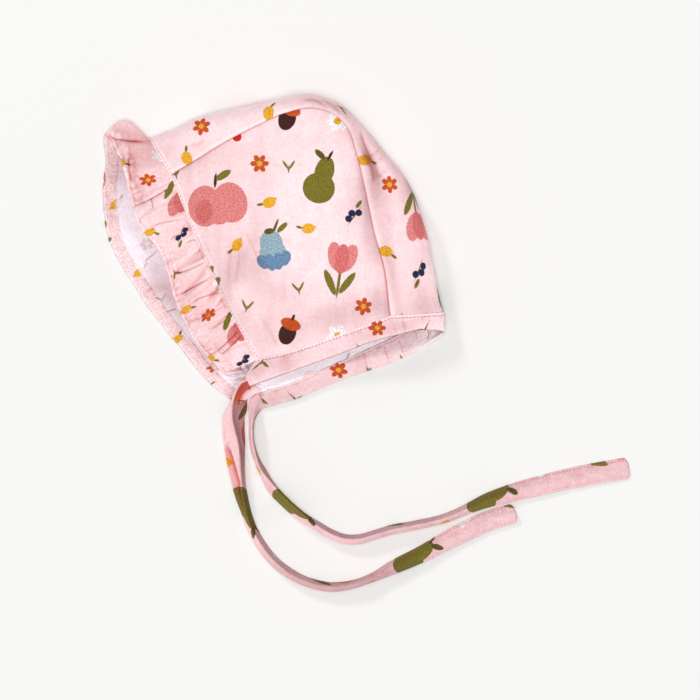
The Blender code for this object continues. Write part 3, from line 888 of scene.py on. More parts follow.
# The cell of cloth after which the print repeats, and what lies in it.
CELL = (124, 132)
Place = namedtuple("Place", "motif x y turn size", defaults=(1,))
LAYOUT = table(
    Place,
    ("apple", 28, 100, 8, 1.05),
    ("pear", 92, 114, -16, 1.05),
    ("bellflower", 62, 70, 10, 1.1),
    ("tulip", 104, 60, -8, 1.05),
    ("sprig", 22, 50, 24, 1.15),
    ("acorn", 72, 22, -20, 1.15),
    ("daisy", 102, 18, 10),
    ("cherries", 36, 12, 6, 0.95),
    ("windflower", 54, 124, 0),
    ("windflower", 118, 36, 20, 0.95),
    ("berries", 112, 92, 12, 0.95),
    ("lemon", 60, 100, 30),
    ("lemon", 6, 76, -30),
    ("lemon", 84, 84, 10, 0.95),
    ("lemon", 40, 74, 60),
    ("lemon", 6, 18, -10),
    ("seedling", 72, 122, 0),
    ("seedling", 78, 47, 8),
    ("seedling", 46, 36, -10),
    ("seedling", 2, 118, 12, 0.9),
)
PRINT_EDGE = 0.22
ENDLESS = 1000
WAIT = 1e-7


def fill(made, sockets):
    """Links or sets a node's inputs."""
    for key, value in sockets.items():
        if isinstance(value, bpy.types.NodeSocket):
            made.id_data.links.new(value, made.inputs[key])
        else:
            made.inputs[key].default_value = value


def node(tree, kind, sockets, output=0, **settings):
    """An output of a new node."""
    made = tree.nodes.new("ShaderNode" + kind)
    for key, value in settings.items():
        setattr(made, key, value)
    fill(made, sockets)
    return made.outputs[output]


def math(operation, a, b, c=0):
    """The first value is another node's output."""
    return node(a.id_data, "Math", {0: a, 1: b, 2: c}, operation=operation)


def vector(operation, a, b=(0, 0, 0), c=(0, 0, 0)):
    output = 1 if operation in ("LENGTH", "DISTANCE") else 0
    return node(a.id_data, "VectorMath", {0: a, 1: b, 2: c}, output, operation=operation)


def blend(share, a, b, kind="MIX"):
    return node(share.id_data, "Mix", {0: share, 6: a, 7: b}, 2, data_type="RGBA", blend_type=kind)


def between(value, low, high, to_low=0, to_high=1):
    sockets = {"Value": value, "From Min": low, "From Max": high, "To Min": to_low, "To Max": to_high}
    return node(value.id_data, "MapRange", sockets, interpolation_type="SMOOTHSTEP")


def about_one(value, amount):
    """A value from 0 to 1 as a factor that spreads by that amount about 1."""
    return math("MULTIPLY_ADD", value, amount, 1 - amount / 2)


def noise_of(place, scale, detail, roughness, offset=(0, 0, 0)):
    """Noise from 0 to 1 with cells of that size in millimetres along each axis."""
    sockets = {"Vector": place, "Location": offset, "Scale": tuple(1 / size for size in scale)}
    stretched = node(place.id_data, "Mapping", sockets)
    sockets = {"Vector": stretched, "Scale": 1, "Detail": detail, "Roughness": roughness}
    return node(place.id_data, "TexNoise", sockets, noise_dimensions="3D")


def print_group():
    """Node group: place on the cloth in millimetres and ground colour to the colour of the printed cloth."""
    group = bpy.data.node_groups.new("garden_print", "ShaderNodeTree")
    for name, direction, kind in (
        ("Place", "INPUT", "Vector"),
        ("Ground", "INPUT", "Color"),
        ("Color", "OUTPUT", "Color"),
    ):
        group.interface.new_socket(name, in_out=direction, socket_type="NodeSocket" + kind)
    entry = group.nodes.new("NodeGroupInput")
    colour = entry.outputs["Ground"]
    for place in LAYOUT:
        # Each motif waits for the one before it: Cycles has no room to work them all out side by side.
        waited = vector("MULTIPLY_ADD", colour, (WAIT, WAIT, WAIT), entry.outputs["Place"])
        high = (place.x + CELL[0] / 2, place.y + CELL[1] / 2, ENDLESS)
        low = (place.x - CELL[0] / 2, place.y - CELL[1] / 2, -ENDLESS)
        local = vector("WRAP", waited, high, low)
        turn = np.radians(place.turn)
        for blob in table(Blob, *MOTIFS[place.motif]):
            x = place.x + (blob.x * np.cos(turn) - blob.y * np.sin(turn)) * place.size
            y = place.y + (blob.x * np.sin(turn) + blob.y * np.cos(turn)) * place.size
            sockets = {
                "Vector": local,
                "Location": (x, y, 0),
                "Rotation": (0, 0, turn + np.radians(blob.turn)),
                "Scale": (blob.rx * place.size, blob.ry * place.size, ENDLESS),
            }
            unit = node(group, "Mapping", sockets, vector_type="TEXTURE")
            soft = PRINT_EDGE / min(blob.rx, blob.ry) / place.size
            outside = between(vector("LENGTH", unit), 1 - soft, 1 + soft)
            inked = INKS[blob.ink][:3]
            colour = vector("MULTIPLY_ADD", vector("SUBTRACT", colour, inked), outside, inked)
    fill(group.nodes.new("NodeGroupOutput"), {"Color": colour})
    return group


def new_material(name):
    """(material, its shader)"""
    material = bpy.data.materials.new(name)
    material.use_nodes = True
    return material, material.node_tree.nodes["Principled BSDF"]


GARDEN = print_group()


def gauze(name, ground, offset, turn=0, wrong=None, crinkle=1, warm_shade_tint=CREASE_SHADE_TINT, grey_shade_tint=GREY_SHADE_TINT):
    """Printed cotton double gauze. The wrong side is plain, with the print showing through faintly."""
    material, shader = new_material(name)
    tree = shader.id_data
    cloth = node(tree, "UVMap", {}, uv_map="cloth")
    flat = vector("MULTIPLY", cloth, (1 / UV_PER_MM, 1 / UV_PER_MM, 0))
    sockets = {"Vector": flat, "Location": (*offset, 0), "Rotation": (0, 0, np.radians(turn))}
    place = node(tree, "Mapping", sockets)

    def cells(wide, long, detail, roughness, right, up):
        return noise_of(flat, (wide, long, 1), detail, roughness, (right, up, 0))

    warp = cells(0.95, 7, 3, 0.7, 3.1, 0)
    weft = cells(7, 0.95, 3, 0.7, 0, 7.3)
    threads = math("MULTIPLY", math("ADD", warp, weft), 0.5)
    slubs = cells(16, 1.3, 2, 0.5, 0, 1.7)
    cloud = cells(9, 9, 4, 0.65, 9, 2)
    grain = cells(1, 1, 2, 0.7, 5, 5)
    crumple = cells(2, 2, 3, 0.65, 1, 8)
    specks = between(cells(1.5, 1, 2, 0.6, 2, 6), 0.36, 0.64, -1, 1)
    # Attributes of the mesh: painted warm shade (where negative, a painted highlight), painted grey shade, and
    # the hem.
    shade, painted_grey_shade, hem = (
        node(tree, "Attribute", {}, "Fac", attribute_name=kind) for kind in ("painted_shading", "painted_grey_shade", "hem")
    )
    specks = math("MULTIPLY", specks, hem)

    # The ground colour paled by the painted highlight where the painted shading is negative.
    highlight_colour = tuple(min(1, a * b) for a, b in zip(ground, HIGHLIGHT_TINT))
    lit_ground = blend(math("MULTIPLY", shade, -1), ground, highlight_colour)
    wander = node(tree, "TexNoise", {"Vector": flat, "Scale": 1.3, "Detail": 2}, 1)
    jitter = vector("MULTIPLY_ADD", wander, (0.6, 0.6, 0), (-0.3, -0.3, 0))
    sockets = {"Ground": lit_ground, "Place": vector("ADD", place, jitter)}
    colour = node(tree, "Group", sockets, node_tree=GARDEN)
    inked = between(vector("DISTANCE", colour, lit_ground), 0.06, 0.3)
    speckle = between(grain, 0.28, 0.72, 0.56, 1.28)
    speckled = node(tree, "VectorMath", {0: colour, "Scale": speckle}, operation="SCALE")
    colour = blend(math("MULTIPLY", inked, 0.85), colour, speckled)
    if wrong:
        grey = node(tree, "HueSaturation", {"Saturation": 0.5, "Value": 1.05, "Color": colour})
        colour = blend(between(inked, 0, 1, 0.1, 0.46), wrong, grey)

    tone = about_one(threads, THREAD_TONE)
    for factor in (
        about_one(cloud, CLOUD_TONE),
        about_one(crumple, CRUMPLE_TONE * crinkle),
        between(slubs, 0.58, 0.78, 1, 0.94),
        math("MULTIPLY_ADD", specks, SPECK_TONE, 1),
    ):
        tone = math("MULTIPLY", tone, factor)
    red, blue = math("POWER", tone, 0.4), math("POWER", tone, 0.92)
    colour = vector("MULTIPLY", colour, node(tree, "CombineXYZ", {0: red, 1: tone, 2: blue}))
    # Painted warm shade and painted grey shade darken the cloth.
    colour = blend(shade, colour, warm_shade_tint, "MULTIPLY")
    colour = blend(painted_grey_shade, colour, grey_shade_tint, "MULTIPLY")

    height = math("MULTIPLY_ADD", threads, 0.5, math("MULTIPLY", crumple, 0.45 * crinkle))
    height = math("MULTIPLY_ADD", specks, 0.08, height)
    sockets = {
        "Base Color": colour,
        "Normal": node(tree, "Bump", {"Height": height, "Strength": 0.8, "Distance": MM}),
        "Roughness": 0.93,
        "Specular IOR Level": 0.18,
        "Sheen Weight": 0.1,
        "Sheen Roughness": 0.6,
    }
    fill(shader, sockets)
    return material


def thread(name, colour):
    material, shader = new_material(name)
    tree = shader.id_data
    place = vector("MULTIPLY", node(tree, "TexCoord", {}, "Object"), (1 / MM, 1 / MM, 1 / MM))
    ply = noise_of(place, (0.35, 0.35, 0.35), 2, 0.6)
    dark = tuple(0.72 * part for part in colour[:3]) + (1,)
    sockets = {
        "Base Color": blend(between(ply, 0.3, 0.7), dark, colour),
        "Normal": node(tree, "Bump", {"Height": ply, "Strength": 0.4, "Distance": 0.15 * MM}),
        "Roughness": 0.7,
        "Specular IOR Level": 0.3,
        "Sheen Weight": 0.1,
    }
    fill(shader, sockets)
    return material


def two_sides(name, offset, turn, wrong=WRONG_SIDE):
    return [gauze(name, GROUND, offset, turn), gauze(name + "_wrong", GROUND, offset, turn, wrong)]


panel_cloth = two_sides("panel_gauze", (62, 70), 0)
under_cloth = two_sides("under_gauze", (18, 20), 0, UNDER_WRONG)
crown_cloth = two_sides("crown_gauze", (10, 4), 90)
ruffle_look = (RUFFLE_GROUND, (104, 96), -90)
ruffle_cloth = [
    gauze("ruffle_gauze_right", *ruffle_look, crinkle=1.8),
    gauze("ruffle_gauze_wrong", *ruffle_look, WRONG_SIDE, crinkle=1.2),
]
band_cloth = gauze("band_gauze", GROUND, (41, 31.8), crinkle=1.5)
band_end_cloth = gauze("band_end_gauze", GROUND, (60, 40), crinkle=1.5, warm_shade_tint=DEEP_WARM_SHADE_TINT)
tie_look = {"crinkle": 1.7, "warm_shade_tint": TIE_WARM_SHADE_TINT, "grey_shade_tint": SHADOW_TINT}
tie_left_cloth = gauze("tie_gauze_left", TIE_GROUND, (98.4, 30), 90, **tie_look)
tie_right_cloth = gauze("tie_gauze_right", TIE_GROUND, (96.4, 39), 90, **tie_look)
pale_thread = thread("pale_thread", ink(255, 228, 232))
pink_thread = thread("pink_thread", ink(212, 112, 114))
rose_thread = thread("rose_thread", ink(238, 168, 170))


# --- ties ---


def tie_grid(route, seed, painted_grey_shade, lit_side_shade, streaks, bar):
    """(grid, flat places, painted warm shade and highlights, painted grey shade, line of the cord) of a tie
    that slopes down beside its ridge.

    The two tables after the seed give the painted shade of its shaded side and of its lit side at some spots
    along it, a negative amount being a painted highlight, and bar says how far from its end a sewn row runs
    across it, if at all.
    """
    rows = np.array(route, float)
    length = steps_of(rows[:, :2]).sum()
    at = np.linspace(0, 1, int(length / TIE_STEP) + 1)
    far = at * length
    end = length - far
    rounded = np.sqrt(np.clip(1 - (1 - np.clip(end / TIE_END, 0, 1)) ** 2, 0.04, 1))
    x, y, lift, left, right, width, ridge = smooth(shares_of(rows[:, :2]), rows, at).T
    left, right = np.radians(left), np.radians(right)
    ahead = unit(np.gradient(np.column_stack([x, y]), axis=0))
    leftward = np.column_stack([-ahead[:, 1], ahead[:, 0], np.zeros(len(at))])
    height = np.maximum(width * ridge * np.sin(left), width * (1 - ridge) * np.sin(right))
    top = np.column_stack([x, y, lift + height + TIE_CLOTH / 2])
    columns, flat, painted_shadings, painted_grey_shades = [], [], [], []
    warm_shade_share = 1 - ramp(far, *WARM_SHADE_ENDS)
    trimmed = TIE_END * (1 - rounded)
    groove = bump(end, bar, 0.4)
    bars = bump(end, bar - 0.8, 0.4) + bump(end, bar + 0.8, 0.4)
    for across in np.linspace(0, 1, TIE_ACROSS + 1):
        place = trimmed + across * (width - 2 * trimmed)
        off = ridge * width - place
        slope = np.where(off > 0, left, right)
        drop = np.sqrt(off**2 + TIE_RIDGE**2) - TIE_RIDGE
        ripple = wavy(far, place, (0.3, 7, 5, seed), (0.16, 2.6, 3, seed + 1))
        pucker = noise(far / 1.1, place / 6, seed + 2) * bump(place, SEWN_AT, 1.3)
        ripple = (ripple + 0.14 * pucker) * ramp(width, 2, 8) + 0.35 * bars - 0.2 * groove
        column = top + leftward * (off * np.cos(slope))[:, None]
        column[:, 2] += ripple - drop * np.sin(slope)
        edge = np.minimum(place, width - place)
        # Painted highlights on the edges and the sewn bars, painted shade at the stitch line, in puckers, in
        # ripple valleys and in the bar's groove.
        shade = 0.18 * bump(edge, SEWN_AT, 0.5) - 0.25 * bump(edge, 0.3, 0.4)
        shade += 0.3 * np.clip(-pucker, 0, 1) + 0.12 * np.clip(-ripple * 4, 0, 1) + 0.3 * groove - 0.6 * bars
        # Painted shade beside each crease of the tie.
        for streak in streaks:
            share = np.clip((far - streak.start) / (streak.end - streak.start), 0, 1)
            beside = off - streak.start_left - (streak.end_left - streak.start_left) * share
            fade = ramp(far, streak.start - 2, streak.start + 6) * ramp(streak.end + 30 - far, 0, 24)
            dark = np.where(beside < 0, np.exp(np.minimum(beside, 0) / 4), bump(beside, 0, 0.6))
            shade += streak.depth * fade * dark
            column[:, 2] += fade * streak.depth * (0.7 * bump(beside, 1.4, 1.3) - bump(beside, -0.6, 1.1))
        # Painted shade on the shaded side near the ridge, warm at the root and grey further on, and painted
        # shade or highlight on the lit side.
        near_ridge = 0.45 + 0.55 * np.exp(-np.maximum(off, 0) / (4 + 10 * warm_shade_share))
        on_left = ramp(off, -0.2, 0.7)
        shaded = np.interp(far, *painted_grey_shade) * on_left * near_ridge
        lit = np.interp(far, *lit_side_shade) * (1 - on_left)
        columns.append(column)
        flat.append(np.column_stack([far, place]))
        painted_shadings.append(shade + shaded * warm_shade_share + np.minimum(lit, 0))
        painted_grey_shades.append(shaded * (1 - 0.7 * warm_shade_share) + np.maximum(lit, 0))
    line = top.copy()
    line[:, 2] -= np.minimum(height, top[:, 2] - TIE_CLOTH / 2) / 2
    return *(np.stack(part, axis=1)[:, ::-1] for part in (columns, flat, painted_shadings, painted_grey_shades)), line


def make_tie(name, route, seed, cloth, *looks):
    grid, flat, painted_shading, painted_grey_shade, line = tie_grid(route, seed, *looks)
    shades = {"painted_shading": painted_shading, "painted_grey_shade": painted_grey_shade}
    piece, right = shell(name + "_cloth", grid, TIE_CLOTH, flat, [cloth] * 2, shades)
    sewn_line = line_at(right[:, ::-1], False, SEWN_AT)
    sewn = stitches(name + "_stitches", sewn_line, *TIE_THREAD, pink_thread, seed)
    for part in (piece, sewn):
        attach(part, "root")
    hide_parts(name)


# Spots along each tie, and how much painted shade its shaded side (first two tables) or its lit side (last
# two) gets there; a negative amount is a painted highlight.
LEFT_SHADED_SIDE_PAINT = ((0, 14, 20, 50, 70, 180, 240), (1, 1, 0.95, 0.95, 0.5, 0.35, 0))
RIGHT_SHADED_SIDE_PAINT = ((0, 6, 12, 20, 40, 70, 180, 240), (-0.25, -0.2, 0, 0.8, 0.8, 0.55, 0.35, 0))
LEFT_LIT_SIDE_PAINT = ((0, 100, 130, 195, 225), (0, 0, 0.38, 0.38, 0))
RIGHT_LIT_SIDE_PAINT = ((0, 8, 18, 30, 50, 70), (-0.25, -0.2, 0, 0.1, 0, 0))
make_tie("tie_left", TIE_LEFT_ROUTE, 11, tie_left_cloth, LEFT_SHADED_SIDE_PAINT, LEFT_LIT_SIDE_PAINT, LEFT_STREAKS, 9.8)
make_tie("tie_right", TIE_RIGHT_ROUTE, 21, tie_right_cloth, RIGHT_SHADED_SIDE_PAINT, RIGHT_LIT_SIDE_PAINT, RIGHT_STREAKS, -9)


# --- side panels ---


def sew(piece, flat, area, held, *others, slot="printed_gauze", rests_on=("side_panel_right_cloth",)):
    for part in (piece, *others):
        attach(part, "root")
    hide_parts(piece.name.removesuffix("_cloth"))


def seam_relief(far, ditch, roll):
    """Height of cloth that dips into a seam and rolls up beside it, by its distance from the seam."""
    return -ditch * bump(far, 0, 0.6) + roll * bump(far, 1.8, 1.2)


def brim_relief(far):
    """The raised edge at the brim seam, and the groove and the ridge of its topstitching."""
    return 0.36 * bump(far, 0.35, 0.5) - 0.12 * bump(far, SEWN_AT, 0.42) + 0.2 * bump(far, 2.15, 0.75)


# Painted highlights on the raised edge and the ridge beside the brim seam, and a little painted shade in the
# groove of its topstitching.
def brim_painted_light(far):
    return 0.1 * bump(far, SEWN_AT, 0.35) - bump(far, 0.35, 0.4) - 0.9 * bump(far, 2.05, 0.4)


def upper_panel():
    grid = panel_points(PANEL_FINE, under=False)
    plain = grid.copy()
    x, y = plain[..., 0], plain[..., 1]
    from_brim, from_back, from_neck, from_top = from_sides(grid)
    from_crown = np.minimum(from_back, from_top)
    away = np.minimum.reduce([from_brim, from_crown, from_neck])
    rise, painted_shading = folded(grid, PANEL_FOLDS)
    waves = wavy(x + PANEL_SLANT * y, y, (0.5, 17, 23, 5)) + wavy(x, y, (0.3, 6, 8, 6), (0.12, 2.6, 3, 7))
    grid[..., 2] += rise * ramp(away, 0.5, 9) + waves * ramp(away, 0.8, 8)
    grid[..., 2] += seam_relief(from_crown, 0.9, 0.05) + brim_relief(from_brim)
    # Painted shade (positive) and painted highlights (negative) from the table, paler all over, with random
    # mottle.
    tone = painted_light_areas(plain, PANEL_PAINTED_LIGHT) - 0.12 + wavy(x, y, (0.09, 8, 13, 31), (0.1, 3.4, 24, 32))
    # Painted shade in narrow fold valleys, beside the crown seam and in its ditch, the table's painted
    # highlights, and the brim's painted light.
    painted_shading = 0.45 * painted_shading + 0.1 * bump(from_crown, 1.5, 1.5) + np.minimum(tone, 0)
    painted_shading = np.clip(painted_shading + brim_painted_light(from_brim) + 2.2 * bump(from_crown, 0, 0.5), -1, 1)
    shades = {"painted_shading": painted_shading, "painted_grey_shade": np.clip(tone, 0, 1)}
    return shell("side_panel_left_cloth", inset(grid), CLOTH, plain[..., :2], panel_cloth, shades)


def lower_panel():
    grid = panel_points(UNDER_FINE, under=True)[:, ::-1]
    flat = grid[..., :2].copy()
    x, y = flat[..., 0], flat[..., 1]
    grid[..., 2] += np.clip(0.35 * np.abs(noise(x / 11, y / 11, 3)) + 0.1 * noise(x / 4, y / 4, 4), 0, None)
    none = np.zeros(grid.shape[:2])
    shades = {"painted_shading": none, "painted_grey_shade": none}
    return shell("side_panel_right_cloth", inset(grid), CLOTH, flat, under_cloth, shades)[0]


panel, panel_right = upper_panel()
brim_stitches = stitches("brim_stitches", line_at(panel_right, True, SEWN_AT), *BRIM_THREAD, rose_thread, 31)
sew(panel, (0.128, 0.150), 0.0143, "draped", brim_stitches)
under_panel = lower_panel()
sew(under_panel, (0.128, 0.150), 0.0143, "laid", rests_on=())


# --- crown band ---


def crown_piece():
    along = packed((TOP_CELLS + BACK_CELLS) * CROWN_FINE, 0.55, 0.4)
    grid = np.array([crown_section(row, CROWN_FINE, 0.5) for row in read_table(CROWN_SECTIONS, along)])
    plain = grid.copy()
    from_brim, from_neck, from_upper, from_lower = from_sides(grid)
    from_ends = np.minimum(from_brim, from_neck)
    rise, painted_shading = folded(grid, CROWN_FOLDS)
    cells = np.arange(grid.shape[1]) / (UPPER_CELLS * CROWN_FINE)
    upper = np.clip(np.sin(np.pi * np.clip(cells, 0, 1) ** 0.8), 0, 1)[None, :]
    grid[..., 2] += rise * upper * ramp(from_ends, 0, 8)
    painted_shading = painted_shading * upper
    middle, down = from_brim[:, [0]] * np.ones_like(from_upper), from_upper
    normal = normals_of(grid)
    away = np.minimum.reduce([from_ends, from_upper, from_lower])
    waves = wavy(middle, down, (0.5, 15, 9, 8), (0.3, 5.5, 5, 9), (0.12, 2.6, 2.8, 10))
    grid += normal * (waves * ramp(away, 0.8, 7))[..., None]
    grid[..., 2] += seam_relief(from_upper, 0.8, 0.4)
    grid += normal * brim_relief(from_brim)[..., None]
    # Painted shade and highlights from the table with random mottle, more painted shade further from the seam
    # where the band turns under, and in fold valleys.
    tone = painted_light_areas(plain, CROWN_PAINTED_LIGHT) - 0.1 + 0.14 * noise(middle / 9, down / 8, 33)
    tone += 0.16 * ramp(down, 14, 24) + 0.4 * painted_shading
    # Painted highlight on the roll beside the crown seam, painted shade in its ditch and in fold valleys, and
    # the brim's painted light.
    painted_shading = 0.45 * painted_shading - 0.5 * bump(from_upper, 1.8, 1) + 2.2 * bump(from_upper, 0, 0.6)
    painted_shading += 0.2 * np.clip(tone, 0, 1) + np.minimum(tone, 0)
    shades = {"painted_shading": np.clip(painted_shading + brim_painted_light(from_brim), -1, 1), "painted_grey_shade": np.clip(tone, 0, 1)}
    flat = np.stack([middle, down], axis=-1)
    return shell("crown_band_cloth", inset(grid), CLOTH, flat, crown_cloth, shades)


crown, crown_right = crown_piece()
crown_line = line_at(crown_right, True, SEWN_AT)
keep_above(crown_line[0], LOWEST_STITCH)
crown_stitches = stitches("crown_stitches", crown_line, *BRIM_THREAD, rose_thread, 41)
sew(crown, (0.090, 0.240), 0.0190, "draped", crown_stitches)


# --- ruffle ---


def ruffle_piece():
    v = packed(RUFFLE_ACROSS, 0.4, 0.3)
    grid, along, length = strip(BRIM_SEAM, RUFFLE_EDGE, 0, BACK_CELLS, RUFFLE_FINE, CLOTH / 2, v)
    for gather in GATHERS:
        near = bump(along, gather.along, gather.half_width)[:, None]
        lift = near * np.abs(np.sin(np.pi / 2 * v / gather.crest) ** GATHER_START)[None, :]
        grid[..., 1] += gather.out * lift
        grid[..., 2] += gather.up * lift
    _, _, down, from_edge = from_sides(grid)
    far = along[:, None] * length * np.ones_like(down)
    near_side = 1 - ramp(along, 0.44, 0.5)[:, None]
    rise, painted_shading = folded(grid, RUFFLE_FOLDS)
    normal = normals_of(grid)
    drift = 2.2 * noise(far / 9, down / 14, 12)
    puckers = noise((far + drift) / 2.1, down / 26, 13)
    puckers = np.sign(puckers) * np.abs(puckers) ** 0.8
    folds = noise((far + drift * 2) / 5.2, down / 30, 14)
    waves = 1.1 * puckers * np.exp(-down / 8) + 1.1 * folds * ramp(down, 1, 9) * (0.4 + 0.6 * near_side)
    waves = waves * ramp(down, 0.2, 2.2) + 0.16 * noise(far / 1.6, down / 1.7, 15)
    hem = ramp(from_edge, HEM + 0.5, HEM - 0.4)
    crinkles = noise(far / 1.2, down / 2.2, 16)
    waves += hem * (0.16 * crinkles + 0.2 * noise(far / 2.6, down / 5, 17))
    grid += normal * waves[..., None]
    ragged = 0.3 * noise(far / 1.1, 0 * far, 18) * np.exp(-from_edge / 1.2)
    grid += unit(grid[:, -1:] - grid[:, :1]) * ragged[..., None]
    grid[..., 2] += rise * ramp(down, 0.2, 2)
    ridge = 0.5 * bump(down, 0.9, 0.7) - 0.2 * bump(down, 2.2, 0.7) - 0.3 * bump(from_edge, HEM, 0.45)
    grid += normal * ridge[..., None]
    # Painted shade and highlights from the tables; the far side's table only on the far side.
    tone = painted_light_areas(grid, RUFFLE_PAINTED_LIGHT) + painted_light_areas(grid, FAR_RUFFLE_PAINTED_LIGHT) * (1 - near_side)
    painted_grey_shade = np.clip(tone, 0, 1)
    # Painted shade in fold creases, in pucker and fold valleys and on the hem's crinkles, painted highlights
    # on the folds' crests, the crinkles and the free edge, painted shade beside the edge, at the seam and at
    # the far hem's stitch line, and a paler far hem.
    painted_shading = 0.95 * painted_shading + 0.8 * ramp(-puckers, 0.42, 0.95) * np.exp(-down / 10) * ramp(down, 0, 1.5)
    painted_shading += 0.25 * ramp(-folds, 0.45, 0.9) * near_side - 0.4 * ramp(folds, 0.1, 0.7) * near_side
    painted_shading += hem * (0.22 * ramp(-crinkles, 0.1, 0.7) - 0.4 * ramp(crinkles, 0.2, 0.8))
    painted_shading += np.minimum(tone, 0) + 0.5 * painted_grey_shade - 0.25 * hem * (1 - near_side)
    painted_shading += 0.3 * bump(from_edge, 1.7, 0.8) * near_side - 0.8 * bump(from_edge, 0.4, 0.5)
    painted_shading += 0.35 * bump(down, 0.2, 0.5) + 0.5 * bump(from_edge, HEM, 0.4) * (1 - near_side)
    shades = {"painted_shading": np.clip(painted_shading, -1, 1), "painted_grey_shade": 0.6 * painted_grey_shade, "hem": hem * (1 - 0.6 * near_side)}
    thickness = CLOTH * (1 + 0.45 * hem)
    flat = np.stack([far * RUFFLE_FULLNESS, down], axis=-1)
    turned_in = from_edge < HEM
    return shell("brim_ruffle_cloth", inset(grid), thickness, flat, ruffle_cloth, shades, turned_in)[0]


ruffle = ruffle_piece()
sew(ruffle, (0.036, 0.420), 0.0148, "gathered", slot="ruffle_gauze")


# --- neck band ---


def band_piece():
    v = packed(BAND_ACROSS, 0.4, 0.3)
    grid, along, length = strip(NECK_SEAM, NECK_EDGE, 1, TOP_CELLS, BAND_FINE, BAND_CLOTH / 2, v)
    out = np.minimum(v / 0.6, (1 - v) / 0.4)[None, :] ** 0.85
    grid[..., 0] -= NECK_END_BULGE * out * bump(along, 0, NECK_END_FADE)[:, None]
    grid, along = grid[::-1], along[::-1]
    _, _, down, from_edge = from_sides(grid)
    far = along[:, None] * length * np.ones_like(down)
    near_side = 1 - ramp(along, 0.47, 0.53)[:, None]
    rise, painted_shading = folded(grid, BAND_FOLDS)
    normal = normals_of(grid)
    swell = noise(far / 6, down / 11, 18)
    waves = (0.5 * swell + 0.24 * noise(far / 3, down / 4, 19)) * ramp(np.minimum(down, from_edge), 0.3, 3)
    pulls = noise(far / 1.9, down / 12, 20) * bump(down, BAND_SEWN_AT, 3)
    ditch = bump(down, BAND_SEWN_AT, 0.45)
    waves += 0.4 * near_side * bump(down, 0.4, 0.5) + (1 - 2 * near_side) * 0.3 * ditch
    waves += 0.25 * pulls * ramp(down, 0.3, 1.5) - 0.35 * bump(from_edge, 0, 0.9)
    grid += normal * waves[..., None]
    grid[..., 2] += rise
    # Painted shade in the topstitching's groove and the pulls beside it, painted highlights by the seam and
    # near the free edge, and shading that follows the swell of the cloth, with random mottle.
    painted_shading = painted_shading + 0.3 * bump(down, BAND_SEWN_AT, 0.4) - 0.9 * bump(down, 0.4, 0.4)
    painted_shading += 0.2 * ramp(-pulls, 0.15, 0.7)
    painted_shading += 0.12 * swell + 0.1 * noise(far / 9, down / 9, 34) - 0.05
    painted_shading = np.clip(painted_shading - 0.3 * bump(from_edge, 0.9, 0.6), -1, 1)
    # Painted shade and highlights from the table, and painted shade along the near band's free edge.
    tone = painted_light_areas(grid, BAND_PAINTED_LIGHT)
    painted_grey_shade = np.clip(tone, 0, 1)
    shades = {
        "painted_shading": np.clip(painted_shading + np.minimum(tone, 0) + 0.3 * painted_grey_shade, -1, 1),
        "painted_grey_shade": np.clip(0.7 * painted_grey_shade + 0.9 * near_side * bump(from_edge, 0, 0.5), 0, 1),
    }
    flat = np.stack([far, down], axis=-1)
    return *shell("neck_band_cloth", inset(grid), BAND_CLOTH, flat, [band_cloth] * 2, shades), along


def band_end():
    """The turned-in end of the neck band, seen beside the root of the upper tie."""
    u, v = np.linspace(0, 1, 31)[:, None, None], np.linspace(0, 1, 23)[None, :, None]
    inner = END_FOLD[0] * (1 - u) + END_FOLD[2] * u
    outer = END_FOLD[1] * (1 - u) + END_FOLD[3] * u
    grid = inner * (1 - v) + outer * v
    u, v = u[..., 0], v[..., 0]
    flat = np.stack(np.broadcast_arrays(20 * u, 8 * v), axis=-1)
    far = np.linalg.norm(grid - grid[:, :1], axis=2)
    grid[..., 2] += 0.25 * noise(flat[..., 0] / 3, flat[..., 1] / 3, 24) + 0.2 * bump(far, 4, 2.5)
    # Painted warm shade deep in the turned-in fold, at its inner edge and towards its far end.
    painted_shading = np.clip(1.3 * np.exp(-far / 1.5) + 1.1 * ramp(u, 0.5, 1) * np.exp(-far / 9) - 0.1, 0, 1)
    shades = {"painted_shading": painted_shading[:, ::-1]}
    return shell("neck_band_end", grid[:, ::-1], CLOTH, flat[:, ::-1], [band_end_cloth] * 2, shades)[0]


band, band_right, band_along = band_piece()
near_part, far_part = band_along < 0.5, band_along > 0.53
points, ups = line_at(band_right, False, BAND_SEWN_AT)
near_line = points[near_part], ups[near_part]
band_stitches = stitches("band_stitches", near_line, *BAND_THREAD, pink_thread, 51)
points, ups = line_at(band_right, False, TEETH_AT)
far_line = points[far_part] - ups[far_part] * BAND_CLOTH, -ups[far_part]
band_teeth = stitches("band_teeth", far_line, *TEETH_THREAD, pale_thread, 52)
sew(band, (0.014, 0.225), 0.0031, "gathered", band_stitches, band_teeth, band_end())


# --- floor and light ---

floor_material, floor_shader = new_material("floor")
fill(floor_shader, {"Base Color": (0.9, 0.895, 0.88, 1), "Roughness": 0.9, "Specular IOR Level": 0.1})
corners = np.array([[-1, -1, 0], [1, -1, 0], [1, 1, 0], [-1, 1, 0]]) * FLOOR_SIDE / MM / 2
floor = add_mesh("floor", corners, [(0, 1, 2, 3)], [floor_material])
floor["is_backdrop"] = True


def light_on(data, pieces, unblocked):
    """A light object that reaches these pieces alone, and that only they block if it is to be unblocked."""
    light = bpy.data.objects.new(data.name, data)
    bpy.context.scene.collection.objects.link(light)
    lit = bpy.data.collections.new(data.name + "_reaches")
    for piece in pieces:
        lit.objects.link(piece)
    light.light_linking.receiver_collection = lit
    if unblocked:
        light.light_linking.blocker_collection = lit
    return light


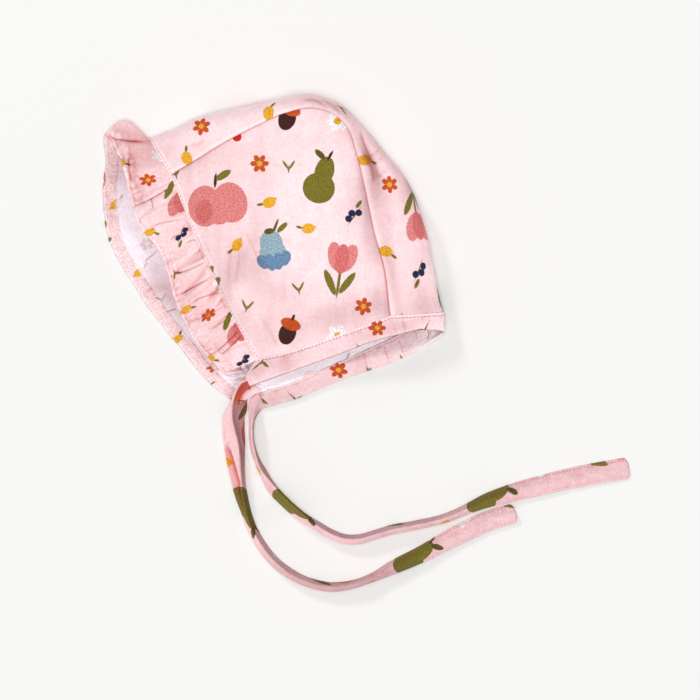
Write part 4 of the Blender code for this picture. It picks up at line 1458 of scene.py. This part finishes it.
def area_light(name, direction, level, softness, pieces, unblocked=False):
    """A wide light from far off. A white surface that faces it comes out at that level."""
    data = bpy.data.lights.new(name, "AREA")
    data.energy = level * np.pi**2 * LIGHT_DISTANCE**2
    data.size = softness * LIGHT_DISTANCE
    light = light_on(data, pieces, unblocked)
    towards = Vector(direction).normalized()
    light.location = Vector((VIEW_CENTRE[0] * MM, 0, 0)) + LIGHT_DISTANCE * towards
    light.rotation_euler = towards.to_track_quat("Z", "Y").to_euler()


def spot_light(name, x, y, reach, level, pieces):
    """A soft-edged pool of light of that reach, from straight above, with the same kind of level."""
    data = bpy.data.lights.new(name, "SPOT")
    data.energy = level * 4 * np.pi**2 * SPOT_HEIGHT**2
    data.spot_size = 2 * np.arctan(reach * MM / SPOT_HEIGHT)
    data.spot_blend = 1
    data.shadow_soft_size = SPOT_SOFTNESS
    light_on(data, pieces, unblocked=True).location = (x * MM, y * MM, SPOT_HEIGHT)


ties = [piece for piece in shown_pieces() if piece.name.startswith("tie")]
body = [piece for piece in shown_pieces() if piece not in ties]
area_light("body_key", (-0.42, 0.48, 0.77), 0.39, 0.16, body)
area_light("body_side", (0.8, -0.1, 0.6), 0.24, 0.3, body)
area_light("body_low", (0.05, -0.76, 0.65), 0.43, 0.3, body)
area_light("inside_fill", (0, -0.3, 0.95), 0.09, 0.4, [under_panel], unblocked=True)
spot_light("corner_fill", -19.5, -73.5, 14, 0.7, [under_panel, ruffle])
area_light("tie_key", (-0.51, -0.4, 0.77), 0.62, 0.2, ties)
area_light("tie_top", (0.05, 0, 1), 0.13, 0.45, ties)
area_light("floor_top", (0, 0, 1), 0.51, 0.45, [floor])
area_light("floor_side", (-0.49, 0.74, 0.45), 0.28, 0.12, [floor])

world = bpy.data.worlds.new("studio")
world.use_nodes = True
fill(world.node_tree.nodes["Background"], {"Color": (1, 1, 1, 1), "Strength": 0.45})
bpy.context.scene.world = world
bpy.context.scene.view_settings.view_transform = "Standard"
bpy.context.scene.view_settings.look = "None"
